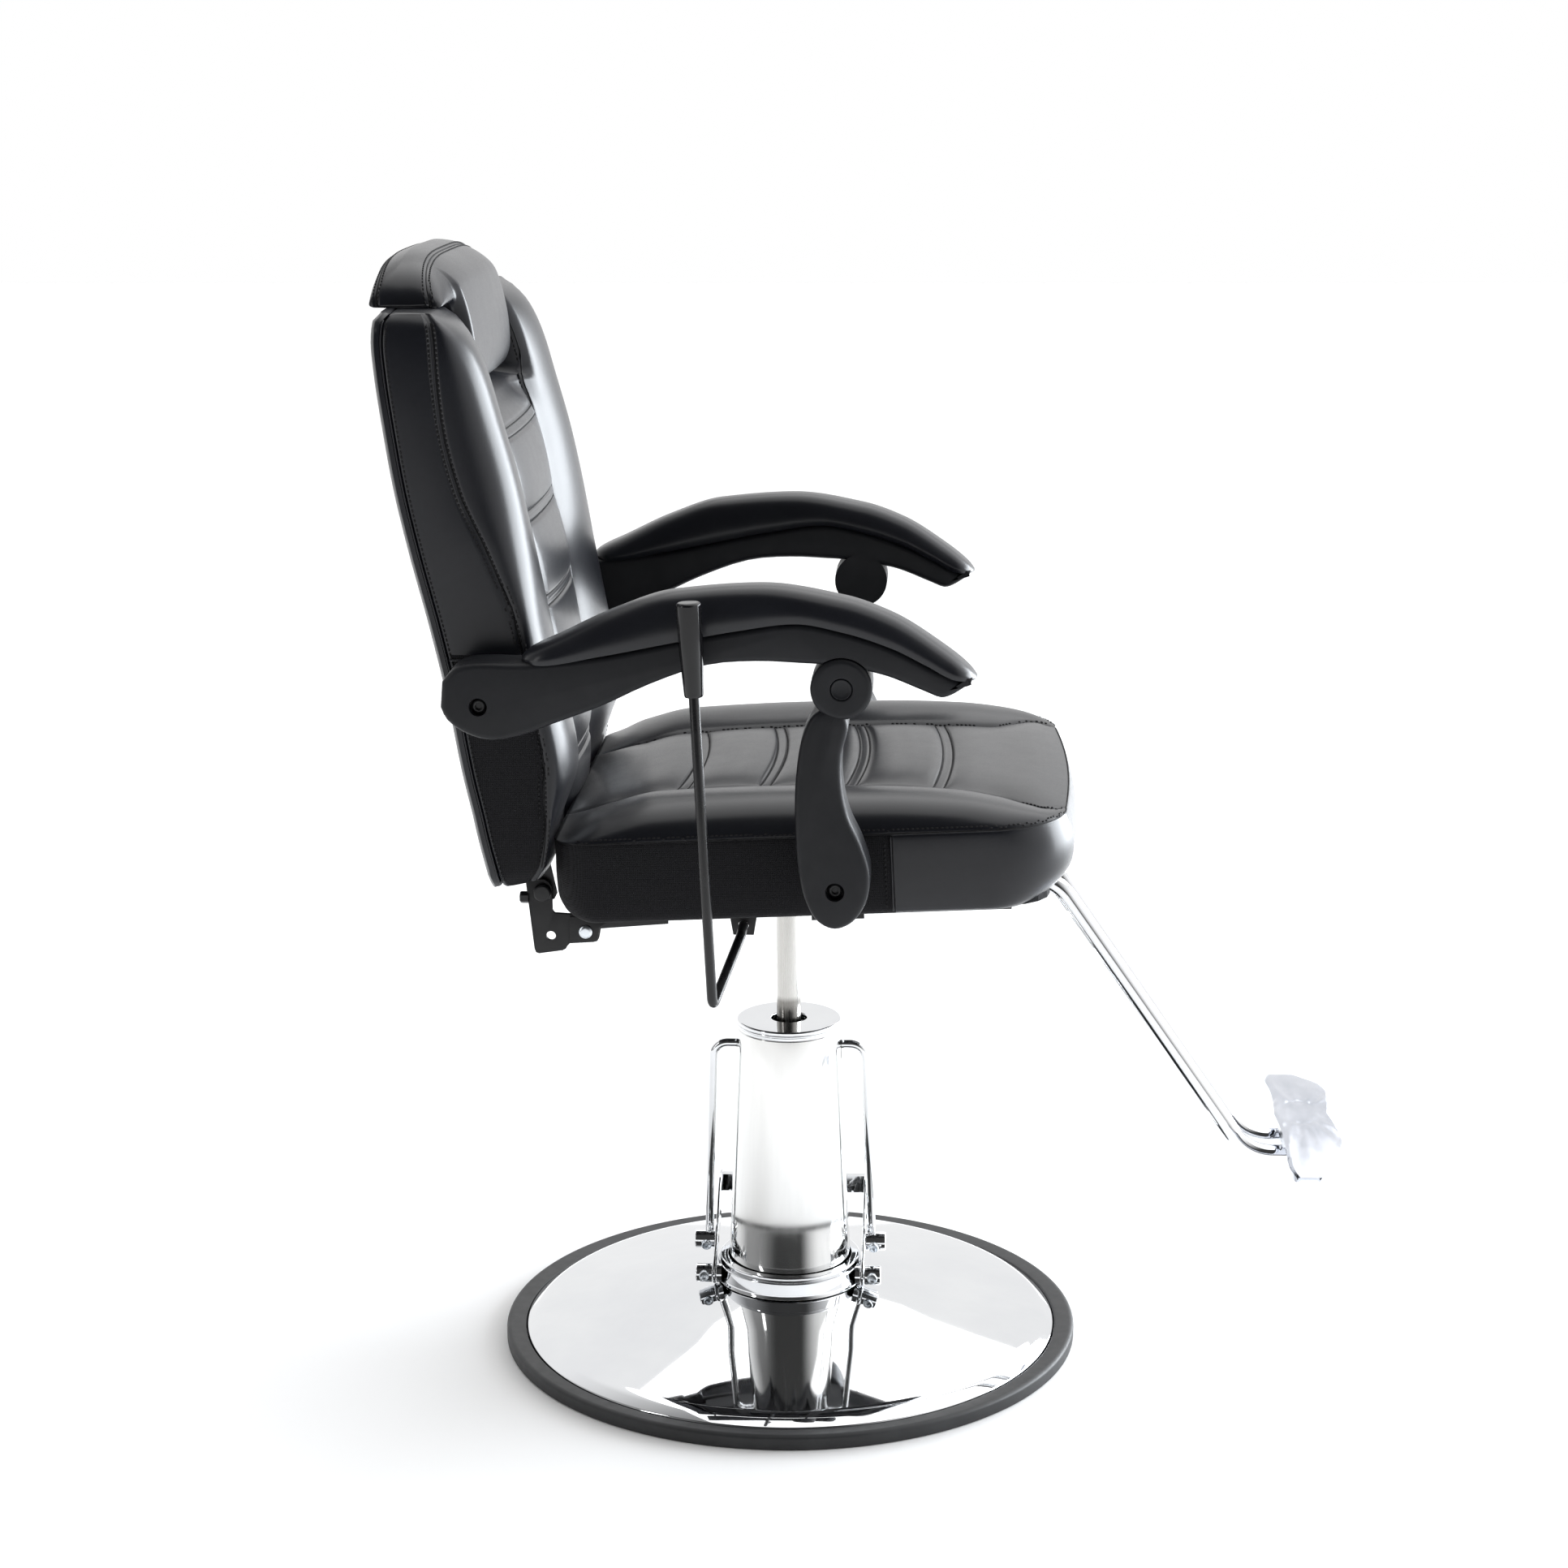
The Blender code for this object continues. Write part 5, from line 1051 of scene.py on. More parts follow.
def build_seat():
    cx = [c + d for c in CHAN for d in (-DBL, DBL)]
    xs = clustered(SX0 + 0.0006, SX1 - 0.0006, 0.0042, cx, (0.0, 0.0008, 0.0016, 0.0028))
    fine = [0.0, 0.02, 0.05, 0.10]
    inner = [1 - t for t in (0.0, 0.006, 0.013, 0.022, 0.035, 0.055, 0.085, 0.125, 0.18, 0.25, 0.33, 0.42, 0.52,
                             0.62, 0.72, 0.82, 0.91)][::-1]
    outer = [0.0, 0.012, 0.03, 0.055, 0.09, 0.14, 0.20, 0.28, 0.36, 0.44, 0.52, 0.60, 0.68, 0.75, 0.81, 0.86, 0.90,
             0.93, 0.955, 0.975, 0.988, 0.996, 1.0]
    half = [("i", t) for t in inner] + [("o", t) for t in outer[1:]]
    cols = [("i", -t, -1) if k == "i" else ("o", t, -1) for k, t in reversed(half)] + [("c", 0.0, 1)] + \
           [(k, t, 1) for k, t in half]
    verts, idx, pos = [], {}, []
    for i, x in enumerate(xs):
        s, w = seam_y(x), plan_half_width(x)
        for j, (k, t, sg) in enumerate(cols):
            if k == "o":
                y = sg * (s + (w - s) * t)
            elif k == "c":
                y = 0.0
            else:
                y = s * (t if sg > 0 else t)
            h = seat_height(x, y, t)
            # sewn double lines across the middle panel
            if abs(y) < s:
                for c in cx:
                    h -= 0.0024 * math.exp(-((x - c) / 0.0019) ** 2) * (1 - (abs(y) / s) ** 10)
            X = x + bow(x, y)
            idx[(i, j)] = len(verts)
            verts.append(SF @ Vector((X, y, h)))
            pos.append((X, y, h))
    faces = []
    nx, ny = len(xs), len(cols)
    for i in range(nx - 1):
        for j in range(ny - 1):
            faces.append((idx[(i, j)], idx[(i + 1, j)], idx[(i + 1, j + 1)], idx[(i, j + 1)]))
    # boundary loop, counter clockwise from above
    loop = [(i, 0) for i in range(nx)] + [(nx - 1, j) for j in range(1, ny)] + \
           [(i, ny - 1) for i in range(nx - 2, -1, -1)] + [(0, j) for j in range(ny - 2, 0, -1)]
    ring0 = [idx[q] for q in loop]
    P = [pos[a] for a in ring0]
    n = len(P)
    normals = []
    for a in range(n):
        # outward plan normal from the smooth outline
        x, y = P[a][0], P[a][1]
        nxv, nyv = 0.0, 0.0
        if x > SX1 - RF and abs(y) > SW - RF:
            nxv, nyv = x - (SX1 - RF), y - math.copysign(SW - RF, y)
        elif x < SX0 + RR and abs(y) > SW - RR:
            nxv, nyv = x - (SX0 + RR), y - math.copysign(SW - RR, y)
        elif loop[a][0] == nx - 1:
            nxv, nyv = 1.0, y * 0.03
        elif loop[a][0] == 0:
            nxv = -1.0
        else:
            nyv = math.copysign(1.0, y)
        L = math.hypot(nxv, nyv)
        normals.append((nxv / L, nyv / L))
    FRONT = [(0.0, 0.0300), (0.005, 0.0195), (0.011, 0.0105), (0.020, 0.0020), (0.032, -0.0045), (0.045, -0.0066),
             (0.058, -0.0056), (0.070, -0.0026), (0.0785, 0.0)]
    SIDE = [(0.0, 0.0060), (0.004, 0.0018), (0.010, 0.0002), (0.020, -0.0010), (0.040, -0.0018), (0.060, -0.0016),
            (0.072, -0.0008), (0.0785, 0.0)]
    REAR = [(0.0, 0.0200), (0.006, 0.0090), (0.014, 0.0030), (0.025, 0.0), (0.045, -0.0006), (0.065, 0.0),
            (0.0785, 0.0)]
    levels = [0.0776, 0.0764, 0.0745, 0.071, 0.066, 0.060, 0.053, 0.046, 0.039, 0.032, 0.026, 0.020, 0.015, 0.011,
              0.0075, 0.0045, 0.002, 0.0]
    prev = ring0
    wall_faces = []
    for h in levels:
        cur = []
        for a in range(n):
            nxn, nyn = normals[a]
            wf = max(0.0, nxn) ** 1.5
            wr = max(0.0, -nxn) ** 1.5
            ws = max(0.0, 1 - wf - wr)
            d = wf * table(FRONT, h)[0] + ws * table(SIDE, h)[0] + wr * table(REAR, h)[0]
            d += 0.0009 * math.exp(-((h - 0.0785) / 0.0016) ** 2)
            x, y = P[a][0] - nxn * d, P[a][1] - nyn * d
            cur.append(len(verts))
            verts.append(SF @ Vector((x, y, h)))
            pos.append((x, y, h))
        for a in range(n):
            b = (a + 1) % n
            wall_faces.append((prev[a], cur[a], cur[b], prev[b]))
        prev = cur
    # turned hem and the open underside round the board
    for h, d in ((0.0004, 0.010), (0.0122, 0.0118)):
        cur = []
        for a in range(n):
            nxn, nyn = normals[a]
            wf, wr = max(0.0, nxn) ** 1.5, max(0.0, -nxn) ** 1.5
            dd = d + wf * 0.032 + wr * 0.014
            cur.append(len(verts))
            verts.append(SF @ Vector((P[a][0] - nxn * dd, P[a][1] - nyn * dd, h)))
            pos.append((P[a][0] - nxn * dd, P[a][1] - nyn * dd, h))
        for a in range(n):
            b = (a + 1) % n
            wall_faces.append((prev[a], cur[a], cur[b], prev[b]))
        prev = cur
    wall_faces.append(tuple(prev[::-1]))
    mats = [0] * len(faces)
    for f in wall_faces:
        cxm = sum(pos[a][0] for a in f) / len(f)
        hm = sum(pos[a][2] for a in f) / len(f)
        mats.append(1 if cxm < 0.1135 else 0)
    ob = add("seat_upholstery", verts, faces + wall_faces, [LEATHER, MESH], "seat",
             ("seat_cushion",), None, mats)
    outward(ob)
    # seam lines for the thread and for the painted seam shade
    lines = {}
    lines["edge"] = [[SF @ Vector(P[a]) for a in range(n) if P[a][0] > -0.19] ]
    edge_r = [SF @ Vector((x + bow(x, -plan_half_width(x)), -plan_half_width(x), HE)) for x in xs if x > -0.19]
    edge_l = [SF @ Vector((x, plan_half_width(x), HE)) for x in xs if x > -0.19]
    front = [SF @ Vector((SX1 + bow(SX1, y), y, HE)) for y in np.linspace(-0.176, 0.176, 60)]
    pan = {}
    for sg in (-1, 1):
        pan[sg] = [SF @ Vector((x + bow(x, sg * seam_y(x)), sg * seam_y(x), seat_height(x, sg * seam_y(x), 0)))
                   for x in xs if -0.17 < x < 0.277]
    cross = []
    for c in cx:
        cross.append([SF @ Vector((c + bow(c, y), y, seat_height(c, y, 0) - 0.002))
                      for y in np.linspace(-seam_y(c) + 0.002, seam_y(c) - 0.002, 60)])
    return ob, edge_r, edge_l, front, pan, cross


seat, edge_r, edge_l, front, pan, cross = build_seat()
stitches("seat_edge_thread_right", seat, [edge_r + front[:2]], "seat", 0.0042)
stitches("seat_edge_thread_left", seat, [edge_l], "seat", -0.0042)
stitches("seat_front_thread", seat, [front], "seat", 0.0042)
for sg, tag in ((-1, "right"), (1, "left")):
    stitches("seat_panel_thread_" + tag, seat, [pan[sg]], "seat", 0.0040 * sg)
    stitches("seat_panel_thread2_" + tag, seat, [pan[sg]], "seat", -0.0040 * sg)
# painted shade: matte black cords along the seat seams stand in for the shade in their grooves
seam_shade_cord("seat_seam_shade", seat, [edge_r, edge_l, front, pan[-1], pan[1]], "seat")
stitches("seat_cross_thread", seat, cross, "seat", 0.0, 0.0036, 0.0029)
# upright seam where the side panel ends, and its thread
for sg, tag in ((-1, "right"), (1, "left")):
    ln = [SF @ Vector((0.1135, sg * (SW + 0.0012), h)) for h in np.linspace(0.004, 0.076, 20)]
    groove(seat, [ln], 0.0012, 0.0022)
    tube("seat_side_piping_" + tag, ln, 0.0009, LEATHER, "seat", (), 10)
    stitches("seat_side_thread_" + tag, seat, [ln], "seat", -0.006 * sg)

# ============================================================= back cushion
BACK = ((0.5480, -0.2700, 0.240, -0.2320, -0.2195, -0.2240, 0.088),
        (0.5600, -0.2730, 0.248, -0.2235, -0.2140, -0.2200, 0.088),
        (0.6000, -0.2820, 0.250, -0.2170, -0.2110, -0.2170, 0.088),
        (0.6180, -0.2855, 0.250, -0.2160, -0.2040, -0.2150, 0.088),
        (0.6600, -0.2945, 0.250, -0.2160, -0.1915, -0.2130, 0.090),
        (0.7300, -0.3065, 0.250, -0.2270, -0.2035, -0.2220, 0.095),
        (0.8000, -0.3215, 0.250, -0.2380, -0.2165, -0.2315, 0.100),
        (0.8700, -0.3385, 0.250, -0.2630, -0.2280, -0.2475, 0.111),
        (0.9300, -0.3512, 0.249, -0.2890, -0.2400, -0.2605, 0.117),
        (0.9900, -0.3605, 0.247, -0.3030, -0.2560, -0.2740, 0.121),
        (1.0350, -0.3665, 0.244, -0.3075, -0.2690, -0.2840, 0.124),
        (1.0650, -0.3690, 0.240, -0.3095, -0.2835, -0.2960, 0.125),
        (1.0820, -0.3678, 0.234, -0.3125, -0.3010, -0.3070, 0.126),
        (1.0885, -0.3620, 0.226, -0.3180, -0.3140, -0.3170, 0.126))
HLINES = (0.6310, 0.6420, 0.7929, 0.8032, 0.8748, 0.8855, 0.9574, 0.9676)
REAR_BOW = 0.010
PANEL_T = 0.010


def notch_x(z):
    return -0.3470 + (1.0900 - z) * 0.1311


def back_puff(z):
    edges = [0.548, 0.6365, 0.798, 0.880, 0.9625, 1.09]
    for a, b in zip(edges, edges[1:]):
        if a <= z <= b:
            t = (z - a) / (b - a)
            return (4 * t * (1 - t)) ** 0.6
    return 0.0


def back_section(z):
    """Half section, rear middle to front middle, as (x, y, tag)."""
    xr, w, xs, xc, xv, s = table(BACK, z)
    off = PANEL_T + 0.0006
    pts = []
    for f in (0.0, 0.25, 0.5, 0.7, 0.85, 0.94):
        pts.append((xr + off - REAR_BOW * (1 - f * f), f * w, "r"))
    rc = 0.004
    for k in range(4):
        a = math.pi / 2 * k / 3
        pts.append((xr + off + rc * (1 - math.cos(a)), w - rc * (1 - math.sin(a)), "r"))
    x_a = xr + off + rc
    for t in (0.10, 0.25, 0.42, 0.58, 0.72, 0.83, 0.91):
        bulge = 0.0016 * math.sin(math.pi * t)
        pts.append((x_a + (xs - x_a) * t, w + bulge, "s"))
    # shallow groove at the side seam
    for d in (-0.0045, -0.0028, -0.0014, 0.0, 0.0014, 0.0028, 0.0045):
        g = 0.0018 * math.exp(-(d / 0.0017) ** 2)
        if d <= 0:
            pts.append((xs + d, w - g, "s"))
        else:
            pts.append((xs + d, w - g - d * d * 6.0, "w"))
    # outer round of the wing
    yc = s + (w - s) * 0.64
    x0, y0 = xs + 0.0045, w - 0.00013
    N = 14
    for k in range(1, N + 1):
        a = math.pi / 2 * k / N
        pts.append((x0 + (xc - x0) * math.sin(a) ** 0.92, yc + (y0 - yc) * math.cos(a) ** 0.92, "w"))
    N = 13
    for k in range(1, N):
        u = k / N
        pts.append((xv + (xc - xv) * (1 - u ** 1.9), yc - (yc - s - 0.0045) * u, "w"))
    g0 = 0.0040
    for d in (0.0045, 0.0030, 0.0018, 0.0008, 0.0, -0.0008, -0.0018, -0.0030, -0.0045):
        base = xv + (0.0006 if d > 0 else 0.0)
        pts.append((base - g0 * math.exp(-(d / 0.0019) ** 2), s + d, "w" if d > 0 else "p"))
    puff = 0.0060 * back_puff(z)
    for t in (0.92, 0.86, 0.78, 0.69, 0.60, 0.50, 0.40, 0.30, 0.20, 0.10, 0.0):
        y = t * (s - 0.0045)
        pts.append((xv + 0.0012 + puff * (1 - t ** 5) ** 0.8 + 0.0030 * (1 - t * t), y, "p"))
    return pts


def build_back():
    zs = clustered(0.5480, 1.0885, 0.0065, HLINES, (0.0, 0.0009, 0.0018, 0.0030, 0.0046))
    rings, tags = [], None
    for z in zs:
        sec = back_section(z)
        full = sec + [(x, -y, t) for x, y, t in sec[-2:0:-1]]
        tags = [t for _, _, t in full]
        ring = []
        s = table(BACK, z)[5]
        xr = table(BACK, z)[0]
        for x, y, t in full:
            if t == "p":
                for hz in HLINES:
                    x -= 0.0023 * math.exp(-((z - hz) / 0.0019) ** 2) * (1 - min(1.0, abs(y) / s) ** 12)
            if z > 0.955 and abs(y) < 0.150 and t != "r":
                k = smooth(0.958, 1.002, z) * smooth(0.140, 0.095, abs(y))
                x = x + (min(x, -0.2965) - x) * k
            if z > 0.998 and abs(y) < 0.1420 and t != "r" and x > notch_x(z):
                k = smooth(0.998, 1.0035, z) * smooth(0.1400, 0.1230, abs(y))
                x = x + (notch_x(z) - x) * k
            lift = 0.20 * (x - xr) * smooth(0.615, 0.548, z)
            ring.append(Vector((x, y, z + lift)))
        rings.append(ring)
    # soft closing ring on top and below
    def closing(ring, z, k):
        c = sum(ring, Vector()) / len(ring)
        out = []
        for p in ring:
            q = p.lerp(Vector((c.x, p.y * (1 - k * 0.25), p.z)), k)
            q.z = z if z else p.z - 0.0016
            out.append(q)
        return out
    rings = [closing(rings[0], None, 0.10)] + rings + [closing(rings[-1], 1.0892, 0.10)]
    v, f = shell(rings)
    n = len(rings[0])
    mats = []
    for face in f:
        if len(face) > 4:
            mats.append(0)
            continue
        i = face[0] % n
        z = v[face[0]].z
        mats.append(1 if tags[i] == "s" and z < 0.7705 else 0)
    ob = add("back_upholstery", v, f, [LEATHER, MESH], "back", ("back_cushion",), None, mats)
    return outward(ob)


back = build_back()
side_seam = {sg: [Vector((table(BACK, z)[2], sg * table(BACK, z)[1], z)) for z in np.linspace(0.57, 1.084, 140)]
             for sg in (-1, 1)}
front_seam = {sg: [Vector((table(BACK, z)[4], sg * table(BACK, z)[5], z)) for z in np.linspace(0.575, 1.08, 140)]
              for sg in (-1, 1)}
for sg, tag in ((-1, "right"), (1, "left")):
    stitches("back_side_thread_a_" + tag, back, [side_seam[sg]], "back", 0.0045)
    stitches("back_side_thread_b_" + tag, back, [side_seam[sg]], "back", -0.0045)
    stitches("back_front_thread_" + tag, back, [front_seam[sg]], "back", 0.0042 * sg)
hl = []
for hz in HLINES:
    s = table(BACK, hz)[5]
    hl.append([Vector((table(BACK, hz)[4] + 0.004 * (1 - (y / s) ** 2), y, hz)) for y in np.linspace(-s + 0.002, s - 0.002, 70)])
# painted shade: matte black cords along the back seams stand in for the shade in their grooves
seam_shade_cord("back_seam_shade", back, [side_seam[-1], side_seam[1], front_seam[-1], front_seam[1]], "back")
stitches("back_cross_thread", back, hl, "back", 0.0, 0.0036, 0.0029)
# the hem between leather and mesh on the sides
for sg, tag in ((-1, "right"), (1, "left")):
    xr, w, xs = table(BACK, 0.7705)[:3]
    ln = [Vector((x, sg * (w + 0.0006 + 0.0012 * math.sin(math.pi * (x - xr) / (xs - xr))), 0.7705))
          for x in np.linspace(xr + PANEL_T + 0.003, xs - 0.002, 24)]
    tube("back_side_hem_" + tag, ln, 0.0011, LEATHER, "back", (), 10)


def build_back_panel():
    zs = np.linspace(0.5480, 1.0885, 90)
    rings = []
    for z in zs:
        xr, w = table(BACK, z)[:2]
        ring = []
        M = 26
        for k in range(M + 1):
            f = -1 + 2 * k / M
            f = math.sin(f * math.pi / 2)
            e = max(0.0, (abs(f) - 0.955) / 0.045)
            ring.append(Vector((xr - REAR_BOW * (1 - f * f) + 0.0040 * e ** 2, f * (w - 0.0005), z)))
        for k in range(M + 1):
            f = 1 - 2 * k / M
            f = math.sin(f * math.pi / 2)
            e = max(0.0, (abs(f) - 0.97) / 0.03)
            ring.append(Vector((xr + PANEL_T - REAR_BOW * (1 - f * f) - 0.0012 * e, f * (w - 0.0005), z)))
        xr0 = xr
        rings.append([Vector((p.x, p.y, p.z + 0.20 * (p.x - xr0) * smooth(0.615, 0.548, z))) for p in ring])
    def closing(ring, dz):
        c = sum(ring, Vector()) / len(ring)
        return [Vector((p.x * 0.72 + c.x * 0.28 if abs(p.x - c.x) < 0.02 else p.x, p.y * 0.988, p.z + dz)) for p in ring]
    rings = [closing(rings[0], -0.0015)] + rings + [closing(rings[-1], 0.0012)]
    v, f = shell(rings)
    return outward(add("back_shell", v, f, LEATHER, "back", ("back_panel",), 50))


shell_ob = build_back_panel()
for sg, tag in ((-1, "right"), (1, "left")):
    ln = [Vector((table(BACK, z)[0] + PANEL_T + 0.0003, sg * (table(BACK, z)[1] - 0.0002), z))
          for z in np.linspace(0.552, 1.084, 160)]
    tube("back_piping_" + tag, ln, 0.0008, LEATHER, "back", (), 12)
    ln2 = [p + Vector((0.0045, 0, 0)) for p in ln]
    stitches("back_rear_thread_" + tag, back, [ln2], "back", 0.0)
rear_lines = []
for yy in (-0.13, 0.13):
    rear_lines.append([Vector((table(BACK, z)[0] - REAR_BOW * (1 - (yy / 0.25) ** 2), yy, z))
                       for z in np.linspace(0.57, 1.075, 80)])
groove(shell_ob, rear_lines, 0.0010, 0.0030)
stitches("shell_thread", shell_ob, rear_lines, "back", 0.0)

# ================================================================= headrest
HW = 0.172


def head_section(y):
    a = abs(y)
    u = min(1.0, a / HW)
    z0 = 1.0896
    h = max(0.0022, 0.0492 * (1 - u ** 3.8) ** 0.55)
    k = min(1.0, h / 0.0492)
    q = smooth(0.30, 0.0, k)                                  # 1 at the very ends
    rear = -0.3810 - 0.0050 * (1 - u * u) + 0.0060 * q
    fr = -0.3140 + 0.0050 * (1 - u * u) - 0.0040 * q          # front foot over the wings
    ft = -0.3375 * k - 0.3220 * (1 - k)                       # front of the top
    pad = smooth(0.1240, 0.1150, a)
    pb = 1.0045 + 0.0040 * (1 - smooth(0.1215, 0.095, a))
    keys = [(rear + 0.0030, z0), (rear - 0.0004, z0 + 0.14 * h), (rear + 0.0006, z0 + 0.50 * h),
            (rear + 0.0040 + 0.0050 * k, z0 + 0.84 * h), (rear + 0.0080 + 0.0190 * k, z0 + 0.99 * h),
            ((rear + ft) / 2 + 0.004, z0 + 1.0 * h), (ft, z0 + 0.93 * h)]
    bulge = 0.0115 * pad + 0.0045 * k * (1 - pad)
    keys += [(fr - 0.0050 + bulge * 0.70, z0 + 0.52 * h), (fr + bulge, z0 + 0.14 * h),
             (fr - 0.001 + 0.0215 * pad, z0 + 0.03 * h * (1 - pad) + (1.050 - z0) * pad),
             (fr - 0.002 + 0.0215 * pad, z0 + 0.012 * h * (1 - pad) + (1.022 - z0) * pad),
             (fr - 0.0050 + 0.0160 * pad, z0 + (1.0085 - z0) * pad),
             (fr - 0.0120 + 0.0040 * pad, z0 + (pb - z0) * pad)]
    nb = notch_x(pb + 0.004) + 0.0018
    xb = nb * pad + (fr - 0.030) * (1 - pad)
    keys += [(xb + 0.004 * pad, z0 + (pb - z0) * pad), (xb, z0 + (pb + 0.004 - z0) * pad),
             (notch_x(z0) + 0.0018 - 0.0005 * (1 - pad), z0)]
    return keys


def build_head():
    ys = []
    m = 92
    for i in range(m + 1):
        t = -1 + 2 * i / m
        ys.append(HW * math.sin(t * math.pi / 2))
    extra = [sg * a for a in (0.109, 0.1115, 0.114, 0.1165, 0.119, 0.1215, 0.124) for sg in (-1, 1)]
    ys = sorted(set(ys + extra))
    rings = []
    for y in ys:
        k = head_section(y)
        top_part = catmull(k[:13], 7)
        ring = top_part + [k[13], ((k[13][0] + k[14][0]) / 2, (k[13][1] + k[14][1]) / 2), k[14],
                           ((k[14][0] * 0.66 + k[15][0] * 0.34), (k[14][1] * 0.66 + k[15][1] * 0.34)),
                           ((k[14][0] * 0.33 + k[15][0] * 0.67), (k[14][1] * 0.33 + k[15][1] * 0.67)), k[15],
                           ((k[15][0] + k[0][0]) / 2, k[15][1])]
        rings.append([Vector((x, y, z)) for x, z in ring])
    v, f = shell(rings)
    ob = add("headrest_upholstery", v, f, LEATHER, "headrest", ("headrest_cushion",), None)
    outward(ob)
    return ob


head = build_head()
def over_crown(xs_end, xs_mid, zk):
    """A sewn line lengthwise over the crown, xs from its ends to its middle."""
    ln = []
    for y in [HW * math.sin(t * math.pi / 2) for t in np.linspace(-0.999, 0.999, 150)]:
        u = abs(y) / HW
        k = (1 - u ** 3.8) ** 0.55
        ln.append(Vector((xs_end + (xs_mid - xs_end) * k, y, 1.0896 + max(0.0022, 0.0492 * k) * zk)))
    return ln


hs = [over_crown(-0.3225, -0.3330, 0.93), over_crown(-0.3290, -0.3430, 1.0)]
rear_seam = [over_crown(-0.3740, -0.3760, 0.90)]
groove(head, [hs[0]] + rear_seam, 0.0016, 0.0020)
# painted shade: matte black cords along the headrest seams stand in for the shade in their grooves
seam_shade_cord("head_seam_shade", head, [hs[0]] + rear_seam, "headrest")
stitches("head_front_thread_a", head, [hs[0]], "headrest", 0.0038)
stitches("head_front_thread_b", head, [hs[0]], "headrest", -0.0038)
stitches("head_rear_thread", head, rear_seam, "headrest", 0.0034)
stitches("head_rear_thread_b", head, rear_seam, "headrest", -0.0034)
for s, side in ((-1, "right"), (1, "left")):
    hd = Vector((-0.13, 0.0, 0.9915)).normalized()
    p = Vector((-0.3560, s * 0.060, 1.0900))
    tube("head_post_" + side, [p - hd * 0.185, p + hd * 0.024], 0.0050, CHROME, "headrest",
         ("headrest_post_" + side,), 28)

# ========================================================= recline brackets
for s, side in ((-1, "right"), (1, "left")):
    lo, hi = sorted((s * 0.2000, s * 0.2040))
    keys = [(-0.2425, 0.5440), (-0.2355, 0.4765), (-0.2340, 0.4728), (-0.2310, 0.4718), (-0.2080, 0.4752),
            (-0.2050, 0.4768), (-0.2030, 0.4800), (-0.2010, 0.4823), (-0.1780, 0.4838), (-0.1740, 0.4850),
            (-0.1722, 0.4885), (-0.1705, 0.4975), (-0.1600, 0.4985), (-0.1050, 0.5030), (-0.1050, 0.5155),
            (-0.1900, 0.5115), (-0.2150, 0.5130), (-0.2170, 0.5160), (-0.2170, 0.5390), (-0.2200, 0.5440),
            (-0.2240, 0.5465), (-0.2360, 0.5472), (-0.2405, 0.5462)]
    pl = pillow("bracket_plate_" + side, keys, lo, hi, 0.0007, BLACKSTEEL, "seat",
                ("recline_bracket_" + side,), 3, angle=40)
    c = [cyl_mesh(0.0046, (-0.2190, s * 0.19, 0.4900), (-0.2190, s * 0.215, 0.4900), 40)]
    carve(pl, c, "DIFFERENCE", 40)
    lo, hi = sorted((s * 0.2040, s * 0.2062))
    pillow("bracket_tab_" + side, [(-0.2010, 0.4835), (-0.1750, 0.4850), (-0.1732, 0.4880), (-0.1716, 0.4985),
                                   (-0.1600, 0.5080), (-0.2000, 0.5100)], lo, hi, 0.0006, BLACKSTEEL,
           "seat", (), 3, angle=40)
    lathe("bracket_zinc_bolt_" + side,
          rounded([(0.0, 0.2094), (0.0042, 0.2094), (0.0066, 0.2080), (0.0068, 0.2062), (0.0, 0.2062)],
                  [0, 0.001, 0.0008, 0.0002, 0]),
          ZINC, "seat", centre=(-0.1850, 0, 0.4950), axis=(0, s, 0), steps=36,
          replaces=("bracket_bolt_" + side,))
    lathe("bracket_pivot_" + side,
          rounded([(0.0, 0.2108), (0.0070, 0.2108), (0.0086, 0.2094), (0.0086, 0.2042), (0.0057, 0.2042),
                   (0.0057, 0.1880), (0.0, 0.1880)], [0, 0.0008, 0.0008, 0.0004, 0, 0, 0]),
          BLACKSTEEL, "seat", centre=(-0.226, 0, 0.534), axis=(0, s, 0), steps=40,
          replaces=("recline_bolt_" + side,))
    lathe("bracket_rear_nut_" + side,
          rounded([(0.0, 0.0085), (0.0050, 0.0085), (0.0060, 0.0070), (0.0060, 0.0), (0.0, 0.0)],
                  [0, 0.001, 0.001, 0, 0]),
          BLACKSTEEL, "seat", centre=(-0.2400, s * 0.2020, 0.5280), axis=(-1, 0, 0), steps=6)

# ============================================================ floor and light
me = bpy.data.meshes.new("floor")
L = 14.0
me.from_pydata([(-L, -L, 0), (L, -L, 0), (L, L, 0), (-L, L, 0)], [], [(0, 1, 2, 3)])
fl = Nodes("floor_white")
fl.wire(fl.ramp(fl.noise(0.6, 2.0), [(0.3, (0.955, 0.955, 0.955)), (0.7, (0.97, 0.97, 0.97))]),
        fl.bsdf.inputs["Base Color"])
fl.set(Roughness=0.85, Specular_IOR_Level=0.1)
me.materials.append(fl.mat)
floor = bpy.data.objects.new("floor", me)
scene.collection.objects.link(floor)

world = bpy.data.worlds.new("studio")
scene.world = world
world.use_nodes = True
wt = world.node_tree
bg = wt.nodes["Background"]
geo = wt.nodes.new("ShaderNodeTexCoord")
sep = wt.nodes.new("ShaderNodeSeparateXYZ")
wt.links.new(geo.outputs["Generated"], sep.inputs["Vector"])


def wmath(op, a, b=None):
    m = wt.nodes.new("ShaderNodeMath")
    m.operation = op
    for i, v in enumerate((a, b)):
        if v is None:
            continue
        if isinstance(v, (int, float)):
            m.inputs[i].default_value = v
        else:
            wt.links.new(v, m.inputs[i])
    return m.outputs["Value"]


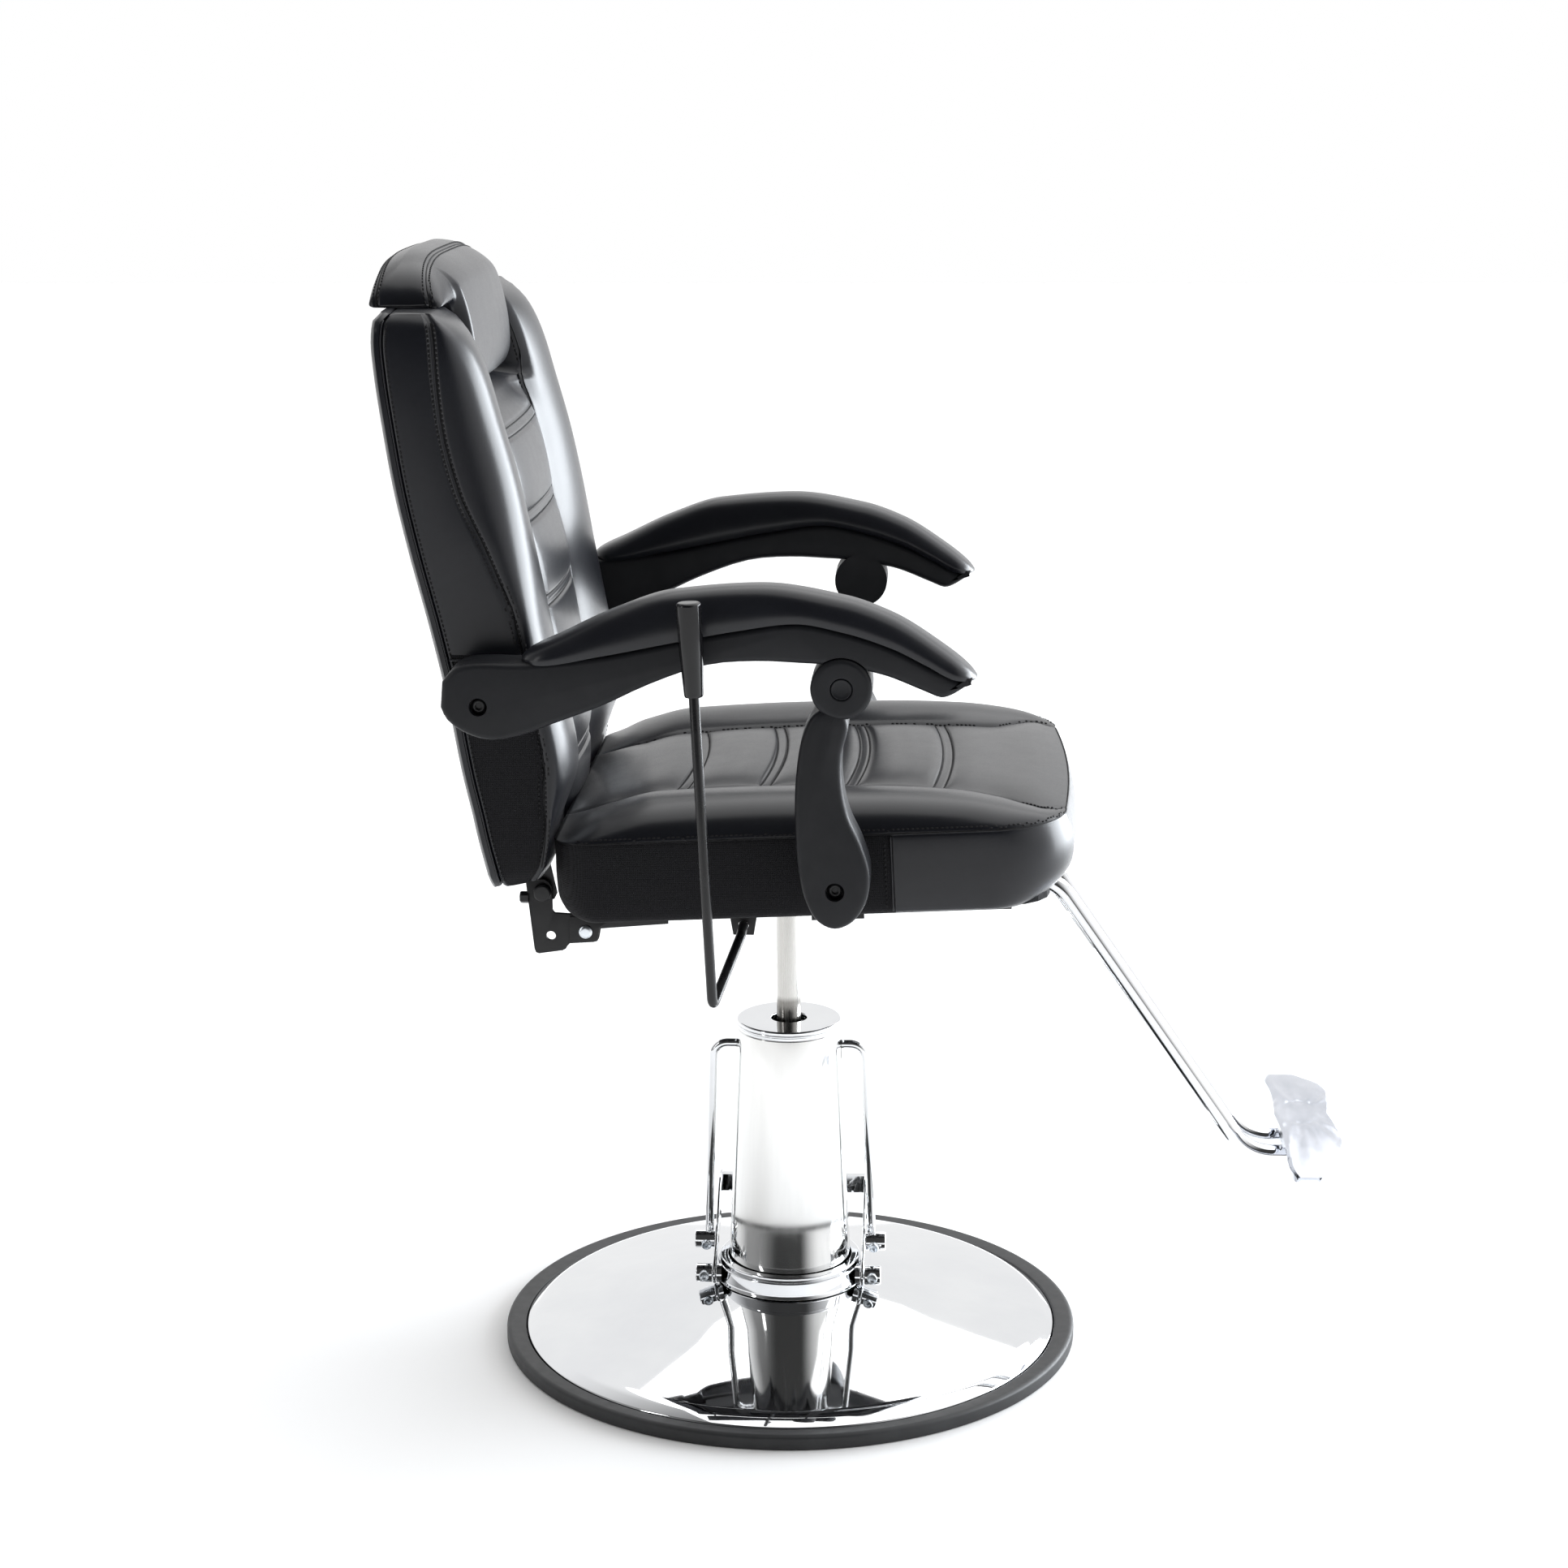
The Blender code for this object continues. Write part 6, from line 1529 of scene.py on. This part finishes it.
def wrange(v, a, b, lo, hi):
    m = wt.nodes.new("ShaderNodeMapRange")
    m.interpolation_type = "SMOOTHSTEP"
    m.inputs["From Min"].default_value = a
    m.inputs["From Max"].default_value = b
    m.inputs["To Min"].default_value = lo
    m.inputs["To Max"].default_value = hi
    wt.links.new(v, m.inputs["Value"])
    return m.outputs["Result"]


# bright behind, above and to the right; dark on the side the chair is seen from
back_y = wmath("MULTIPLY", wrange(sep.outputs["Y"], -0.35, 0.55, 0.0, 1.0), 0.95)
side_x = wmath("MULTIPLY", wrange(sep.outputs["X"], 0.35, 0.97, 0.0, 1.0), 1.25)
left_x = wmath("MULTIPLY", wrange(sep.outputs["X"], -0.35, -0.98, 0.0, 1.0), 0.30)
top_z = wmath("MULTIPLY", wrange(wmath("ADD", sep.outputs["Z"], wmath("MULTIPLY", sep.outputs["Y"], 0.5)), 0.70, 1.05,
                                 0.0, 1.0), 0.40)
lev = wmath("ADD", wmath("MAXIMUM", wmath("MAXIMUM", back_y, side_x), wmath("MAXIMUM", left_x, top_z)), 0.05)
path = wt.nodes.new("ShaderNodeLightPath")
mixv = wt.nodes.new("ShaderNodeMix")
mixv.data_type = "FLOAT"
wt.links.new(path.outputs["Is Camera Ray"], mixv.inputs[0])
wt.links.new(lev, mixv.inputs[2])
mixv.inputs[3].default_value = 1.0
wt.links.new(mixv.outputs[0], bg.inputs["Strength"])
bg.inputs["Color"].default_value = (1, 1, 1, 1)

sun = bpy.data.lights.new("overhead", "SUN")
sun.energy = 1.80
sun.angle = math.radians(80)
suno = bpy.data.objects.new("overhead", sun)
scene.collection.objects.link(suno)
suno.rotation_euler = (math.radians(-17), math.radians(16), 0)


def area(name, loc, target, size, power, col=(1, 1, 1)):
    ld = bpy.data.lights.new(name, "AREA")
    ld.shape = "RECTANGLE"
    ld.size, ld.size_y = size
    ld.energy = power
    ld.color = col
    ob = bpy.data.objects.new(name, ld)
    scene.collection.objects.link(ob)
    ob.location = loc
    ob.rotation_euler = (Vector(target) - Vector(loc)).to_track_quat("-Z", "Y").to_euler()
    return ob


area("softbox_right", (3.9, 2.1, 1.20), (-0.1, 0, 0.8), (4.3, 2.6), 430, (0.90, 0.95, 1.0))
area("strip_left", (-2.3, -1.5, 1.4), (0, 0, 0.7), (0.22, 1.7), 7)

# =================================================================== camera
cam = bpy.data.cameras.new("camera")
camo = bpy.data.objects.new("camera", cam)
scene.collection.objects.link(camo)
scene.camera = camo
A, E, RO = math.radians(3.23), math.radians(13.66), math.radians(-0.26)
right = Vector((math.cos(A), math.sin(A), 0))
backv = Vector((math.sin(A) * math.cos(E), -math.cos(A) * math.cos(E), math.sin(E)))
up = backv.cross(right)
rr = math.cos(RO) * right + math.sin(RO) * up
uu = -math.sin(RO) * right + math.cos(RO) * up
m = Matrix((rr, uu, backv)).transposed().to_4x4()
m.translation = Vector((0.169, -3.067, 1.340))
camo.matrix_world = m
cam.sensor_width = 36.0
cam.lens = 3820.0 / 1932.0 * 36.0
cam.clip_start, cam.clip_end = 0.05, 60.0
scene.view_settings.view_transform = "Standard"
scene.view_settings.look = "None"

bpy.context.view_layer.update()
